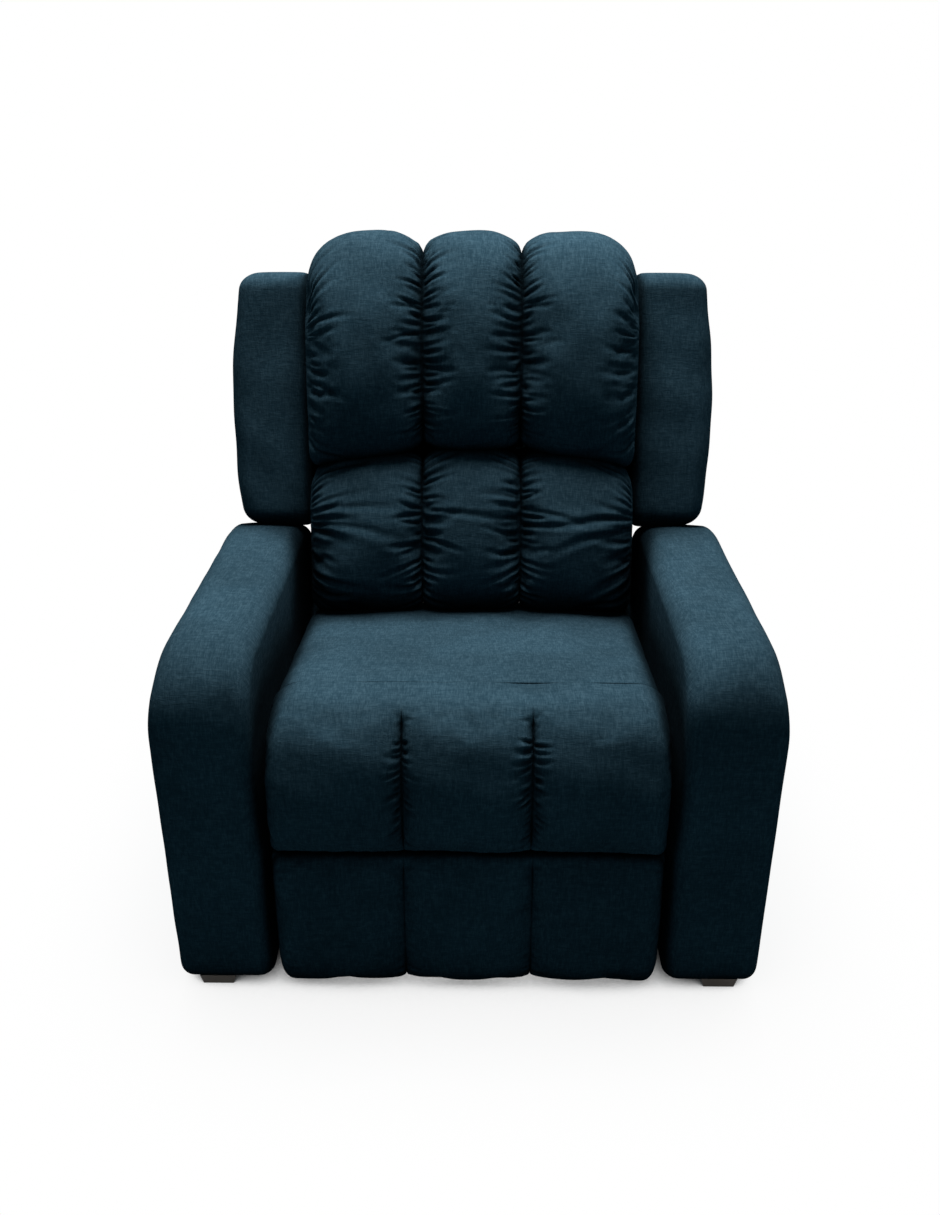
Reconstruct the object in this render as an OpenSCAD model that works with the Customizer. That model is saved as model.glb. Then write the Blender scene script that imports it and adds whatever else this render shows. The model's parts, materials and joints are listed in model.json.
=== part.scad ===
// Lift recliner chair: powered lift, recline and leg rest, with channelled cushions.
// X is the sitter's width, the chair faces -Y, Z is up, the floor is Z = 0.
// Pivots are written as [y, z] pairs in the side view.

/* [Overall] */
// Overall width over the arms
chair_width = 920; // [860:5:980]
// Overall depth from the leg rest face to the back
chair_depth = 880; // [860:5:920]
// Height of the front end of the arm crown
arm_height = 590; // [570:5:610]
// Lean of the back from upright, degrees
back_lean = 14.5; // [13:0.5:16]

/* [Cushions] */
// Half width of the seat cushion
seat_half = 296; // [270:1:300]
// Half width of the leg rest pad
leg_half = 299; // [280:1:300]
// Half width of the back cushions
back_half = 287; // [270:1:288]
// How far a channel seam draws the face in
seam_draw = 16; // [6:1:24]
// Rounding of a cushion's side edge
edge_round = 26; // [16:1:32]

/* [Arms] */
// Width of each upholstered arm
arm_width = 150; // [130:5:155]
// Radius where the arm front rolls over to the top
arm_roll = 100; // [70:5:120]
// Height of the arm's lower edge above the floor
arm_base = 16; // [14:1:24]

/* [Mechanism] */
// Radius of the lift pivot pins
lift_pin = 7; // [6:0.5:8]
// Radius of the leg rest pivot pins
leg_pin = 5; // [4:0.5:6]
// Radial running clearance of a hinge
run_gap = 0.05; // [0.03:0.01:0.1]
// Radial clearance of a loop's free pivot
free_gap = 0.8; // [0.6:0.1:1.2]
// Thickness of the pressed steel plates and links
plate_t = 5; // [4:0.5:6]

/* [Controls] */
// Diameter of each push button
button_d = 24; // [18:1:28]
// Travel of a push button
button_travel = 1.5; // [1:0.1:2]

/* [Display] */
// Sub-part to show on its own

/* [Hidden] */
$fn = 48;
fabric = [0.13, 0.20, 0.25];
steel = [0.12, 0.12, 0.13];
zinc = [0.62, 0.63, 0.65];
timber = [0.72, 0.58, 0.40];
plastic = [0.15, 0.15, 0.16];
half_w = chair_width / 2;
front_y = -chair_depth / 2;
arm_in = half_w - arm_width - 1;
// lift linkage pivots
lift_arm_base = [-271.7, 96.7];
lift_arm_tip = [18.0, 118.9];
follower_base = [-313.4, 67.1];
follower_tip = [-82.9, 72.3];
// leg rest linkage pivots
leg_arm_top = [-300, 260];
leg_arm_knee = [-281, 136];
leg_arm_low = [-324, 92];
leg_ear = [-327, 52];
leg_link_top = [-382, 238];
stay_top = [-385, 198];
guide_top = [-318, 243];
guide_knee = [-302, 140];
guide_low = [-334.27, 86.44];
// back hinge
back_hinge = [180, 400];
// side view planes, measured from the centre
plate_x = 274;
follower_x = 281.5;
lift_arm_x = 266.5;
guide_x = 266.5;
link_x = 259;
leg_arm_x = 251.5;
stay_x = 244;
// drives
lift_crank = 70;
lift_crank_angle = 35;
lift_rod_start = 47.34;
leg_crank = 50;
leg_crank_angle = 45;
leg_rod_start = 47.12;
back_crank_len = 110;
back_crank_angle = 17.5;
back_rod_start = 34.43;
lift_rod_z = lift_arm_base[1] + lift_crank;
leg_rod_z = leg_arm_top[1] - leg_crank;
back_rod_z = back_hinge[1] - back_crank_len;
leg_motor_x = 95;
back_motor_x = -95;

// ---------- helpers ----------

// a profile drawn as [y, z] becomes a plate from x0 to x0 + t
module side_plate(x0, t) {
  translate([x0, 0, 0])
    rotate([90, 0, 90])
      linear_extrude(t)
        children();
}

// the child and its mirror image across the chair's middle
module pair() {
  children();
  mirror([1, 0, 0]) children();
}

module on_side(s) {
  if (s > 0) children();
  else mirror([1, 0, 0]) children();
}

// a round pin along x at the pivot p
module pin(p, x0, x1, r) {
  translate([x0, p[0], p[1]])
    rotate([0, 90, 0])
      cylinder(h = x1 - x0, r = r);
}

// a flat bar between two pivots, round at both ends
module bar2d(p, q, r) {
  d = q - p;
  translate(p) circle(r);
  translate(q) circle(r);
  translate(p)
    rotate(atan2(d[1], d[0]))
      translate([0, 0.06 - r]) square([norm(d), 2 * r - 0.12]);
}

module eye(p, r) {
  translate(p) circle(r);
}

// a slot of half width r between two points
module slot2d(p, q, r) {
  bar2d(p, q, r);
}

// rounded box, edges parallel to z
module rbox(size, r) {
  linear_extrude(size[2])
    rounded2d([size[0], size[1]], r);
}

// rectangle with round corners from circles and squares
module rounded2d(size, r) {
  translate([r, 0]) square([size[0] - 2 * r, size[1]]);
  translate([0, r]) square([size[0], size[1] - 2 * r]);
  for (x = [r, size[0] - r])
    for (y = [r, size[1] - r])
      translate([x, y]) circle(r);
}

// ---------- soft form functions ----------

// points of a corner arc from angle a0 to a1
function corner(c, r, a0, a1, n) =
  [for (i = [0:n]) c + r * [cos(a0 + (a1 - a0) * i / n), sin(a0 + (a1 - a0) * i / n)]];

// points along a line that bulges by b, ends left out
function bulged(p, q, b, n) =
  [for (i = [1:n - 1])
    p + (q - p) * i / n
    + [q[1] - p[1], p[0] - q[0]] / norm(q - p) * b * 4 * (i / n) * (1 - i / n)];

// closed outline of a padded block: rt, rb on the face side, r0 on the frame side
function pad_outline(v0, v1, w0, w1, rt, rb, r0, face, n) =
  concat(
    corner([w1 - rb, v0 + rb], rb, -90, 0, n),
    bulged([w1, v0 + rb], [w1, v1 - rt], face, 4),
    corner([w1 - rt, v1 - rt], rt, 0, 90, n),
    corner([w0 + r0, v1 - r0], r0, 90, 180, 2),
    corner([w0 + r0, v0 + r0], r0, 180, 270, 2));

// how far x is through its channel: -1 and 1 at the seams
function in_channel(x, seams) =
  let (k = max([for (i = [0:len(seams) - 2]) x >= seams[i] - 0.001 ? i : 0]))
  2 * (x - seams[k]) / (seams[k + 1] - seams[k]) - 1;

function round_in(a, half, r) =
  let (t = max(0, min(1, (a - half + r) / r)))
  r * (1 - sqrt(max(0, 1 - t * t)));

// one ring of a channelled cushion at station x
// corner: [across, up] rounding of the upper corners; arch: [top, bottom] fall towards the sides
function channel_ring(x, half, seams, outline, centre, ext, draw, er, corner, arch) =
  let (q = in_channel(x, seams))
  let (dip = draw * pow(abs(q), 3.2) * (abs(x) > half - er ? 0.55 : 1))
  let (inset = round_in(abs(x), half, er))
  let (kw = (ext[0] - inset - dip) / ext[0])
  let (kv = (ext[1] - inset) / ext[1])
  let (drop = corner[1] / corner[0] * round_in(abs(x), half, corner[0]))
  let (fall = pow(x / half, 2))
  [for (p = outline)
    let (t = (p[1] - centre[1]) / ext[1])
    let (v = centre[1] + (p[1] - centre[1]) * kv
           - max(0, t) * (dip * 0.45 + drop + arch[0] * fall)
           + max(0, -t) * (dip * 0.1 - arch[1] * fall))
    [x, -(centre[0] + (p[0] - centre[0]) * kw + (p[0] > centre[0] ? 0 : dip * 0.9)),
     over_frame(p, x) ? max(v, frame_top + 1.5) : v]];

// the part of an outline that hooks over the top of the back frame
function over_frame(p, x) = p[0] <= 62 && p[1] > frame_top && abs(x) < 270;

// stations across a cushion: even through each channel, closer at the ends
function stations(half, seams, n, er) =
  concat(
    [for (a = [90, 66, 42, 18]) -half + er * (1 - sin(a))],
    [for (k = [0:len(seams) - 2])
      for (i = [(k == 0 ? 1 : 0):n - 1])
        let (x = seams[k] + (seams[k + 1] - seams[k]) * i / n)
        if (abs(x) < half - er * 0.98) x],
    [for (a = [18, 42, 66, 90]) half - er * (1 - sin(a))]);

// closed skin over a stack of rings with equal point counts
module loft(rings) {
  n = len(rings[0]);
  m = len(rings);
  pts = [for (r = rings) for (p = r) p];
  a = mean(rings[0]);
  b = mean(rings[m - 1]);
  walls = [for (j = [0:m - 2]) for (i = [0:n - 1])
    let (i2 = (i + 1) % n)
    each [[j * n + i, (j + 1) * n + i, (j + 1) * n + i2],
          [j * n + i, (j + 1) * n + i2, j * n + i2]]];
  cap0 = [for (i = [0:n - 1]) [m * n, i, (i + 1) % n]];
  cap1 = [for (i = [0:n - 1]) [m * n + 1, (m - 1) * n + (i + 1) % n, (m - 1) * n + i]];
  polyhedron(points = concat(pts, [a, b]), faces = concat(walls, cap0, cap1));
}

function mean(r) = [for (k = [0:2]) sum([for (p = r) p[k]]) / len(r)];
function sum(v) = [for (i = 0, s = v[0]; i < len(v); i = i + 1, s = s + (i < len(v) ? v[i] : 0)) s][len(v) - 1];

module channelled(half, seams, outline, draw, er, n, corner = [1, 0], arch = [0, 0]) {
  ws = [for (p = outline) p[0]];
  vs = [for (p = outline) p[1]];
  c = [(max(ws) + min(ws)) / 2, (max(vs) + min(vs)) / 2];
  e = [(max(ws) - min(ws)) / 2, (max(vs) - min(vs)) / 2];
  loft([for (x = stations(half, seams, n, er))
    channel_ring(x, half, seams, outline, c, e, draw, er, corner, arch)]);
}

// the back's own frame: v up the lean, w forward from the rear face
module lean_frame() {
  translate([0, back_rear[0], back_rear[1]])
    rotate([-back_lean, 0, 0])
      children();
}

back_rear = [280, 360];

// side view point at v up the lean and w forward of the rear face
function lean_point(v, w) =
  [back_rear[0] - w * cos(back_lean) + v * sin(back_lean),
   back_rear[1] + w * sin(back_lean) + v * cos(back_lean)];

// ---------- base ----------

rail_x = 264;
rail_w = 25;
rail_h = 40;
glide_h = 12;
rail_top = glide_h + rail_h;
rail_front = -335;
rail_rear = 300;

module base_rail(s) {
  color(steel)
    on_side(s)
      difference() {
        union() {
          translate([rail_x, rail_front, glide_h])
            cube([rail_w, rail_rear - rail_front, rail_h]);
          side_plate(plate_x, plate_t)
            difference() {
              lift_bracket2d();
              eye(lift_arm_base, lift_pin + 3 + run_gap);
            }
          pin(follower_base, plate_x, 288, lift_pin);
          pin(follower_base, 288, 290.5, lift_pin + 3.5);
        }
        translate([rail_x + 2, rail_front - 1, glide_h + 2])
          cube([rail_w - 4, rail_rear - rail_front + 2, rail_h - 4]);
      }
}

module lift_bracket2d() {
  polygon([[-338, rail_top - 6], [-232, rail_top - 6], [-248, 92], [-256, 112],
           [-290, 112], [-332, 80]]);
  eye(lift_arm_base, 18);
}

module base_cross_front() {
  color(steel)
    base_cross(-283);
}

module base_cross_rear() {
  color(steel)
    base_cross(255);
}

// square tube between the two rails
module base_cross(y0) {
  translate([-rail_x, y0, glide_h])
    difference() {
      cube([2 * rail_x, 30, rail_h]);
      translate([-1, 2, 2])
        cube([2 * rail_x + 2, 26, rail_h - 4]);
    }
}

module base_glides() {
  color(plastic)
    pair()
      for (y = [-305, 270])
        translate([rail_x + rail_w / 2, y, 0]) {
          cylinder(h = 4, r1 = 19, r2 = 21);
          translate([0, 0, 4]) cylinder(h = glide_h - 4, r = 21);
        }
}

// ---------- linear drives ----------

// gear motor with its tube, axis along y, tube mouth at y0 toward sgn
module drive_body(len, can, rod_r) {
  difference() {
    union() {
      rotate([-90, 0, 0]) cylinder(h = len, r = 16);
      translate([0, len - 0.5, 0])
        rotate([-90, 0, 0]) cylinder(h = 62, r = 24);
      translate([-24, len + 6, 0])
        cube([48, 50, 26]);
      translate([0, len + 31, 20])
        rotate([0, 90, 0])
          translate([0, 0, -can / 2]) cylinder(h = can, r = 22);
      translate([-7, len + 60, -12])
        cube([14, 22, 24]);
    }
    translate([0, -1, 0])
      rotate([-90, 0, 0]) cylinder(h = len + 20, r = rod_r + run_gap);
  }
}

// rod with a cross pin at its tip; the tip is at y = 0 and the rod runs to +y
module drive_rod(len, rod_r, pin_r, pin_half) {
  rotate([-90, 0, 0])
    cylinder(h = len, r = rod_r);
  rotate([0, 90, 0])
    translate([0, 0, -pin_half]) cylinder(h = 2 * pin_half, r = pin_r);
  translate([0, 0, 0])
    sphere(rod_r + 3);
}

lift_tip_y = lift_arm_base[0] + lift_rod_start;
lift_tube_y = lift_tip_y + 45;
leg_tip_y = leg_arm_top[0] + leg_rod_start;
leg_tube_y = leg_tip_y + 45;
back_tip_y = back_hinge[0] + back_rod_start;
back_tube_y = back_tip_y - 115;

module lift_motor() {
  color(plastic)
    union() {
        translate([0, lift_tube_y, lift_rod_z])
          mirror([0, 0, 1]) drive_body(260, 110, 9);
        translate([-12, 245, rail_top])
          cube([24, 30, lift_rod_z + 12 - rail_top]);
        translate([-12, 150, lift_rod_z - 12])
          cube([24, 100, 24]);
    }
}

module lift_rod() {
  color(zinc)
    translate([0, lift_tip_y, lift_rod_z])
      drive_rod(200, 9, 6, 17);
}

module leg_motor() {
  color(plastic)
    translate([leg_motor_x, leg_tube_y, leg_rod_z])
      union() {
        drive_body(230, 90, 9);
        translate([-7, 300, -12]) cube([14, 200 - leg_tube_y - 300, 24]);
      }
}

module leg_rod() {
  color(zinc)
    translate([leg_motor_x, leg_tip_y, leg_rod_z])
      drive_rod(190, 9, 5, 17);
}

module recline_motor() {
  color(plastic)
    translate([back_motor_x, back_tube_y, back_rod_z])
      mirror([0, 0, 1])
        mirror([0, 1, 0]) {
          drive_body(190, 90, 9);
          translate([-7, 260, -12]) cube([14, 228 + back_tube_y - 260, 24]);
        }
}

module recline_rod() {
  color(zinc)
    translate([back_motor_x, back_tip_y, back_rod_z])
      mirror([0, 1, 0]) drive_rod(230, 9, 5, 17);
}

// two slotted cheeks that take the rod's cross pin; arm of length len at angle a
module slotted_crank(len, a, slot_half, reach, hub) {
  for (x = [-18, 13])
    side_plate(x, plate_t)
      rotate(a)
        difference() {
          bar2d([0, 0], [len + reach, 0], slot_half + 7);
          slot2d([len - reach * 0.35, 0], [len + reach - 3, 0], slot_half);
        }
}

// ---------- lift linkage ----------

module lift_arm(s) {
  color(steel)
    on_side(s)
      difference() {
        union() {
          side_plate(lift_arm_x, plate_t)
            bar2d(lift_arm_base, lift_arm_tip, 17);
          pin(lift_arm_base, lift_arm_x, 280.4, lift_pin + 3);
        }
        pin(lift_arm_tip, lift_arm_x - 1, lift_arm_x + plate_t + 1, lift_pin + run_gap);
      }
}

module lift_torque_tube() {
  color(steel) {
    difference() {
      pin(lift_arm_base, -lift_arm_x, lift_arm_x, 14);
      pin(lift_arm_base, -lift_arm_x - 1, lift_arm_x + 1, 11);
    }
    difference() {
      translate([0, lift_arm_base[0], lift_arm_base[1]])
        slotted_crank(lift_crank, 90 - lift_crank_angle, 8, 18, 14);
      pin(lift_arm_base, -lift_arm_x - 1, lift_arm_x + 1, 13);
    }
  }
}

module lift_followers() {
  color(steel)
    pair()
      difference() {
        side_plate(follower_x, plate_t + 1)
          bar2d(follower_base, follower_tip, 10.5);
        pin(follower_base, follower_x - 1, follower_x + 8, lift_pin + run_gap);
        pin(follower_tip, follower_x - 1, follower_x + 8, lift_pin - 1 + free_gap);
      }
}

// ---------- raised chassis ----------

plate_top = 300;
plate_low = 140;
bolt_y = [-200, -80, 60, 180];
bolt_z = 235;

module chassis_plate2d() {
  difference() {
    union() {
      polygon([[-330, plate_low + 70], [-312, plate_low], [-130, plate_low],
               [-102, 84], [-83, 56], [-64, 66], [34, 112], [40, plate_low + 25],
               [215, plate_low + 25], [228, 190], [224, plate_top - 4], [203, 310],
               [197, 400], [163, 400], [146, plate_top], [-330, plate_top]]);
      eye(lift_arm_tip, 17);
      eye(follower_tip, 16);
      eye(back_hinge, 17);
    }
    eye(leg_arm_top, 8 + run_gap);
    eye(back_hinge, 9 + run_gap);
    for (y = bolt_y) eye([y, bolt_z], 5.3);
  }
}

module chassis_plate(s) {
  color(steel)
    on_side(s) {
      side_plate(plate_x, plate_t) chassis_plate2d();
      pin(lift_arm_tip, 265, plate_x + 1, lift_pin);
      pin(lift_arm_tip, 263.4, 265.4, lift_pin + 3.5);
      pin(follower_tip, plate_x + 1, 288, lift_pin - 1);
      pin(follower_tip, 288, 290.5, lift_pin + 2.5);
      pin(guide_top, 265, plate_x + 1, leg_pin);
      pin(guide_top, 263.9, 265.4, leg_pin + 3);
    }
}

module cross_tube_front() {
  color(steel)
    cross_tube(-252, 278);
}

module cross_tube_rear() {
  color(steel)
    cross_tube(200, 198);
}

module cross_tube(y0, z0) {
  translate([-plate_x, y0, z0])
    difference() {
      cube([2 * plate_x, 24, 24]);
      translate([-1, 2, 2]) cube([2 * plate_x + 2, 20, 20]);
    }
}

module side_rail(s) {
  color(timber)
    on_side(s)
      difference() {
        translate([plate_x + plate_t, -330, 150])
          cube([arm_in - plate_x - plate_t, 630, 150]);
        for (y = bolt_y) pin([y, bolt_z], 270, arm_in + 1, 5.3);
      }
}

module seat_rail_front() {
  color(timber)
    seat_rail(-330, 40);
}

module seat_rail_rear() {
  color(timber)
    difference() {
      seat_rail(95, 30);
      translate([back_motor_x - 20, 90, plate_top - 1]) cube([40, 40, 9]);
    }
}

module seat_rail(y0, d) {
  translate([-arm_in, y0, plate_top])
    cube([2 * arm_in, d, 40]);
}

module rear_panel() {
  color(fabric)
    translate([-arm_in, 300, 60])
      cube([2 * arm_in, 20, 285]);
}

module frame_bolts() {
  color(zinc)
    pair()
      for (y = bolt_y) {
        pin([y, bolt_z], 268.5, plate_x, 9);
        pin([y, bolt_z], plate_x - 0.5, arm_in + 38, 5);
      }
}

// ---------- arms ----------

panel_base = arm_base + 8;
arm_pts = [[-426, panel_base], [-426, 450], [-400, 495], [-350, 515], [140, 487],
           [215, 475], [260, 447], [330, 355], [352, 305], [352, panel_base]];

function arm_top(y) =
  y < front_y + arm_roll
    ? arm_height - arm_roll + sqrt(max(0, pow(arm_roll, 2) - pow(front_y + arm_roll - y, 2)))
    : lookup(y, [[front_y + arm_roll, arm_height], [150, 550], [195, 537], [250, 515],
                 [290, 479], [330, 429], [370, 379], [378, 367]]);

arm_ends = [-440, -439.2, -436.5, -432, -426, -417, -405, -390, -372, -340];
arm_runs = [-240, -140, -40, 60, 160, 185, 205, 228, 250, 270, 290, 310, 330, 350, 366, 374, 378];

function arm_ring(y) =
  let (top = arm_top(y))
  let (near = max(0, 30 - (y - front_y)))
  let (far = max(0, y - (378 - 14)))
  let (g = (30 - sqrt(max(0, 900 - near * near))) + (14 - sqrt(max(0, 196 - far * far))))
  let (c = half_w - arm_width / 2)
  let (h = arm_width / 2 - g)
  let (r = min(46, h - 4))
  let (z0 = arm_base + g * 0.5)
  let (t = top - g * 0.4)
  [for (p = concat(
      corner([h - 14, z0 + 14], 14, -90, 0, 3),
      [[h + 0, z0 + 90], [h + 0, (z0 + t) / 2]],
      corner([h - r, t - 10 - r], r, 0, 62, 4),
      [[h * 0.36, t - 3], [0, t], [-h * 0.36, t - 3]],
      corner([-h + r, t - 10 - r], r, 118, 180, 4),
      [[-h, (z0 + t) / 2], [-h, z0 + 90]],
      corner([-h + 14, z0 + 14], 14, 180, 270, 3)))
    [c + p[0], y, p[1]]];

module arm_panel(extra) {
  translate([arm_in + 34, 0, 0])
    side_plate(0, 22)
      polygon(arm_pts);
}

module arm_sill() {
  translate([arm_in, -340, 150])
    cube([34, 640, 150]);
}

module arm_frame(s) {
  color(timber)
    on_side(s)
      difference() {
        union() {
          arm_panel();
          arm_sill();
        }
        for (y = bolt_y) pin([y, bolt_z], arm_in - 1, arm_in + 38, 5.3);
      }
}

module arm_pad(s) {
  color(fabric)
    on_side(s)
      difference() {
        loft([for (y = concat(arm_ends, arm_runs)) arm_ring(y)]);
        arm_panel();
        translate([arm_in - 1, -340, 150]) cube([35, 640, 150]);
        if (s > 0) control_pocket();
      }
}

module arm_feet() {
  color(plastic)
    pair()
      for (y = [-424, 290])
        translate([402, y, 0])
          foot();
}

// low glide, narrower at the floor
module foot() {
  translate([0, 40, 0])
    rotate([90, 0, 0])
      linear_extrude(40)
        polygon([[-24, 0], [24, 0], [29, arm_base], [-29, arm_base]]);
}

// ---------- controls on the outer side of one arm ----------

panel_y = -215;
panel_z = 425;
panel_size = [86, 40];
button_gap = 40;

module control_pocket() {
  translate([half_w - 12, panel_y - panel_size[0] / 2, panel_z - panel_size[1] / 2])
    cube([20, panel_size[0], panel_size[1]]);
}

module control_panel() {
  color(plastic)
    translate([half_w - 12, panel_y, panel_z])
      rotate([90, 0, 90])
        difference() {
          translate([-panel_size[0] / 2, -panel_size[1] / 2])
            linear_extrude(11)
              square(panel_size);
          for (s = [-1, 1])
            translate([s * button_gap / 2, 0, 3])
              cylinder(h = 10, r = button_d / 2 + 0.3);
        }
}

module push_button(s) {
  translate([half_w - 12, panel_y + s * button_gap / 2, panel_z])
    rotate([0, 90, 0]) {
      translate([0, 0, 3 + button_travel + 0.3])
        cylinder(h = 7.2 - button_travel, r = button_d / 2);
    }
}

module button_up() {
  color(zinc) push_button(-1);
}

module button_down() {
  color(zinc) push_button(1);
}

// ---------- seat ----------

module meander(n, pitch, width, wire) {
  for (i = [0:n - 1])
    translate([i * pitch, 0]) square([wire, width]);
  for (i = [0:n - 2])
    translate([i * pitch, i % 2 == 0 ? width - wire : 0]) square([pitch + wire, wire]);
}

module seat_springs() {
  color(zinc)
    for (x = [-210, -105, 0, 105, 210])
      translate([x - 22, -328.9, 340])
          linear_extrude(3.6)
            rotate(90) mirror([0, 1]) meander(19, 25, 44, 3.8);
}

seat_outline = concat(
  corner([-329 + 14, 344 + 14], 14, 180, 270, 2),
  corner([92 - 18, 344 + 18], 18, 270, 360, 2),
  corner([92 - 30, 424 - 30], 30, 0, 80, 3),
  [[0, 438], [-90, 458], [-180, 477], [-260, 490]],
  corner([-329 + 12, 496 - 12], 12, 90, 180, 2));

module seat_cushion() {
  color(fabric)
    loft([for (x = stations(seat_half, [-seat_half, seat_half], 8, 30))
      seat_ring(x)]);
}

function seat_ring(x) =
  let (g = round_in(abs(x), seat_half, 28))
  let (dome = 7 * (1 - pow(x / seat_half, 2)))
  let (c = [-119, 410])
  [for (p = seat_outline)
    [x, c[0] + (p[0] - c[0]) * (211 - g * 0.6) / 211,
     c[1] + (p[1] - c[1]) * (75 - g * 0.75) / 75 + (p[1] > 430 ? dome : 0)]];

bolster_outline = pad_outline(266, 509, 330, 434, 50, 26, 14, 6, 5);
bolster_half = 297;
bolster_seams = [-bolster_half, -96, 94, bolster_half];

module seat_bolster() {
  color(fabric)
    channelled(bolster_half, bolster_seams, bolster_outline, seam_draw, edge_round, 6,
               corner = [50, 50]);
}

// ---------- back ----------

// the lumbar cushion reaches down over the seat in front of the hinges
lumbar_outline = concat(
  corner([258 - 42, 12 + 42], 42, -90, 0, 5),
  bulged([258, 54], [258, 240], 8, 4),
  corner([258 - 60, 300 - 60], 60, 0, 90, 5),
  corner([62 + 14, 300 - 14], 14, 90, 180, 2),
  corner([62 + 14, 34 + 14], 14, 180, 270, 2),
  [[140, 34], [180, 16]]);
head_outline = concat(
  corner([266 - 64, 302.5 + 64], 64, -90, 0, 6),
  bulged([266, 366], [266, 580], 6, 4),
  corner([266 - 84, 664 - 84], 84, 0, 90, 6),
  [[110, 662]],
  corner([14.3 + 22, 654 - 22], 22, 90, 180, 3),
  [[14.3, 627], [62, 627], [62, 470]],
  corner([62 + 20, 302.5 + 20], 20, 180, 270, 2));
lumbar_seams = [-back_half, -87, 87, back_half];
head_seams = [-back_half, -85, 85, back_half];
cushion_arch = 26;

module lumbar_cushion() {
  color(fabric)
    lean_frame()
      channelled(back_half, lumbar_seams, lumbar_outline, seam_draw + 4, edge_round, 6,
                 arch = [cushion_arch, 0]);
}

module head_cushion() {
  color(fabric)
    lean_frame()
      channelled(back_half, head_seams, head_outline, seam_draw + 8, edge_round, 6,
                 corner = [95, 75], arch = [0, cushion_arch]);
}

wing_base = 156;
wing_tall = 450;
wing_z = [0, 5, 16, 34, 60, 110, 170, 240, 310, 370, 414, 434, 445, wing_tall];

function wing_ring(k) =
  let (v = wing_z[k])
  let (lo = max(0, 34 - v))
  let (hi = max(0, v - (wing_tall - 30)))
  let (g = (34 - sqrt(34 * 34 - lo * lo)) + (30 - sqrt(900 - hi * hi)))
  let (bow = 16 * pow((v - 215) / 231, 2))
  let (x0 = back_half + 3.5 + g * 0.35)
  let (x1 = 435 - bow - g)
  let (w0 = 2 + g * 0.6)
  let (w1 = 166 - g * 0.8)
  let (r = 34)
  [for (p = concat(
      corner([x0 + 12, w0 + 12], 12, 180, 270, 2),
      corner([x1 - 26, w0 + 26], 26, 270, 360, 3),
      corner([x1 - r, w1 - r], r, 0, 90, 4),
      [[(x0 + x1) / 2, w1 + 2]],
      corner([x0 + 18, w1 - 18], 18, 90, 180, 3)))
    [p[0], -p[1], wing_base + v]];

module wing(s) {
  color(fabric)
    on_side(s)
      lean_frame()
        loft([for (k = [0:len(wing_z) - 1]) wing_ring(k)]);
}

stile_x = 230;
stile_w = 36.5;
stile_base = 6;
frame_top = 616;

module back_stile(s) {
  color(timber)
    on_side(s)
        lean_frame()
          translate([stile_x, -58, stile_base])
            cube([stile_w, 44, frame_top - stile_base]);
}

module back_rail_top() {
  color(timber)
    lean_frame()
      translate([-stile_x, -58, frame_top - 60]) cube([2 * stile_x, 44, 60]);
}

module back_rail_bottom() {
  color(timber)
    lean_frame()
      translate([-stile_x, -58, 84]) cube([2 * stile_x, 44, 56]);
}

module back_springs() {
  color(zinc)
    lean_frame()
      for (x = [-160, -80, 0, 80, 160])
        translate([x - 20, -58, 139])
          rotate([90, 0, 0])
            linear_extrude(3.6)
              rotate(90) mirror([0, 1]) meander(18, 24.7, 40, 3.8);
}

outside_round = 80;

module outside_back() {
  color(fabric)
    lean_frame()
      rotate([90, 0, 0])
        linear_extrude(14) {
          translate([-286.5, 0]) square([573, 638.9 - outside_round]);
          translate([outside_round - 286.5, 0]) square([573 - 2 * outside_round, 638.9]);
          for (x = [-1, 1])
            translate([x * (286.5 - outside_round), 638.9 - outside_round])
              circle(outside_round);
        }
}

module back_bracket(s) {
  color(steel)
    on_side(s) {
      side_plate(stile_x + stile_w, plate_t) {
        bar2d(back_hinge, lean_point(8, 36), 17);
        bar2d(lean_point(8, 36), lean_point(190, 36), 17);
      }
      pin(back_hinge, stile_x + stile_w, 279.4, 9);
    }
}

module back_crank() {
  color(steel) {
    difference() {
      pin(back_hinge, -(stile_x + stile_w), stile_x + stile_w, 15);
      pin(back_hinge, -300, 300, 12);
    }
    difference() {
      translate([back_motor_x, back_hinge[0], back_hinge[1]])
        slotted_crank(back_crank_len, 270 + back_crank_angle, 5.8, 16, 15);
      pin(back_hinge, -300, 300, 14);
    }
  }
}

// ---------- leg rest linkage ----------

// bent backwards, so that it passes under the seat's front when it is raised
module leg_arm(s) {
  color(steel)
    on_side(s) {
      side_plate(leg_arm_x, plate_t) {
        bar2d(leg_arm_top, leg_arm_knee, 10);
        bar2d(leg_arm_knee, leg_arm_low, 10);
        bar2d(leg_arm_low, leg_ear, 9.5);
      }
      pin(leg_arm_top, leg_arm_x + plate_t - 1, 278.7, 8);
      pin(leg_arm_low, leg_arm_x + plate_t - 1, 264.5, leg_pin);
      pin(leg_arm_low, 264.4, 265.9, leg_pin + 1.2);
      pin(leg_ear, 243.7, leg_arm_x + 1, leg_pin);
      pin(leg_ear, 242.2, 243.8, leg_pin + 2.5);
    }
}

module leg_torque_tube() {
  color(steel) {
    difference() {
      pin(leg_arm_top, -leg_arm_x, leg_arm_x, 12);
      pin(leg_arm_top, -300, 300, 9.5);
    }
    difference() {
      translate([leg_motor_x, leg_arm_top[0], leg_arm_top[1]])
        slotted_crank(leg_crank, 270 + leg_crank_angle, 8, 24, 12);
      pin(leg_arm_top, -300, 300, 11);
    }
  }
}

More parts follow.
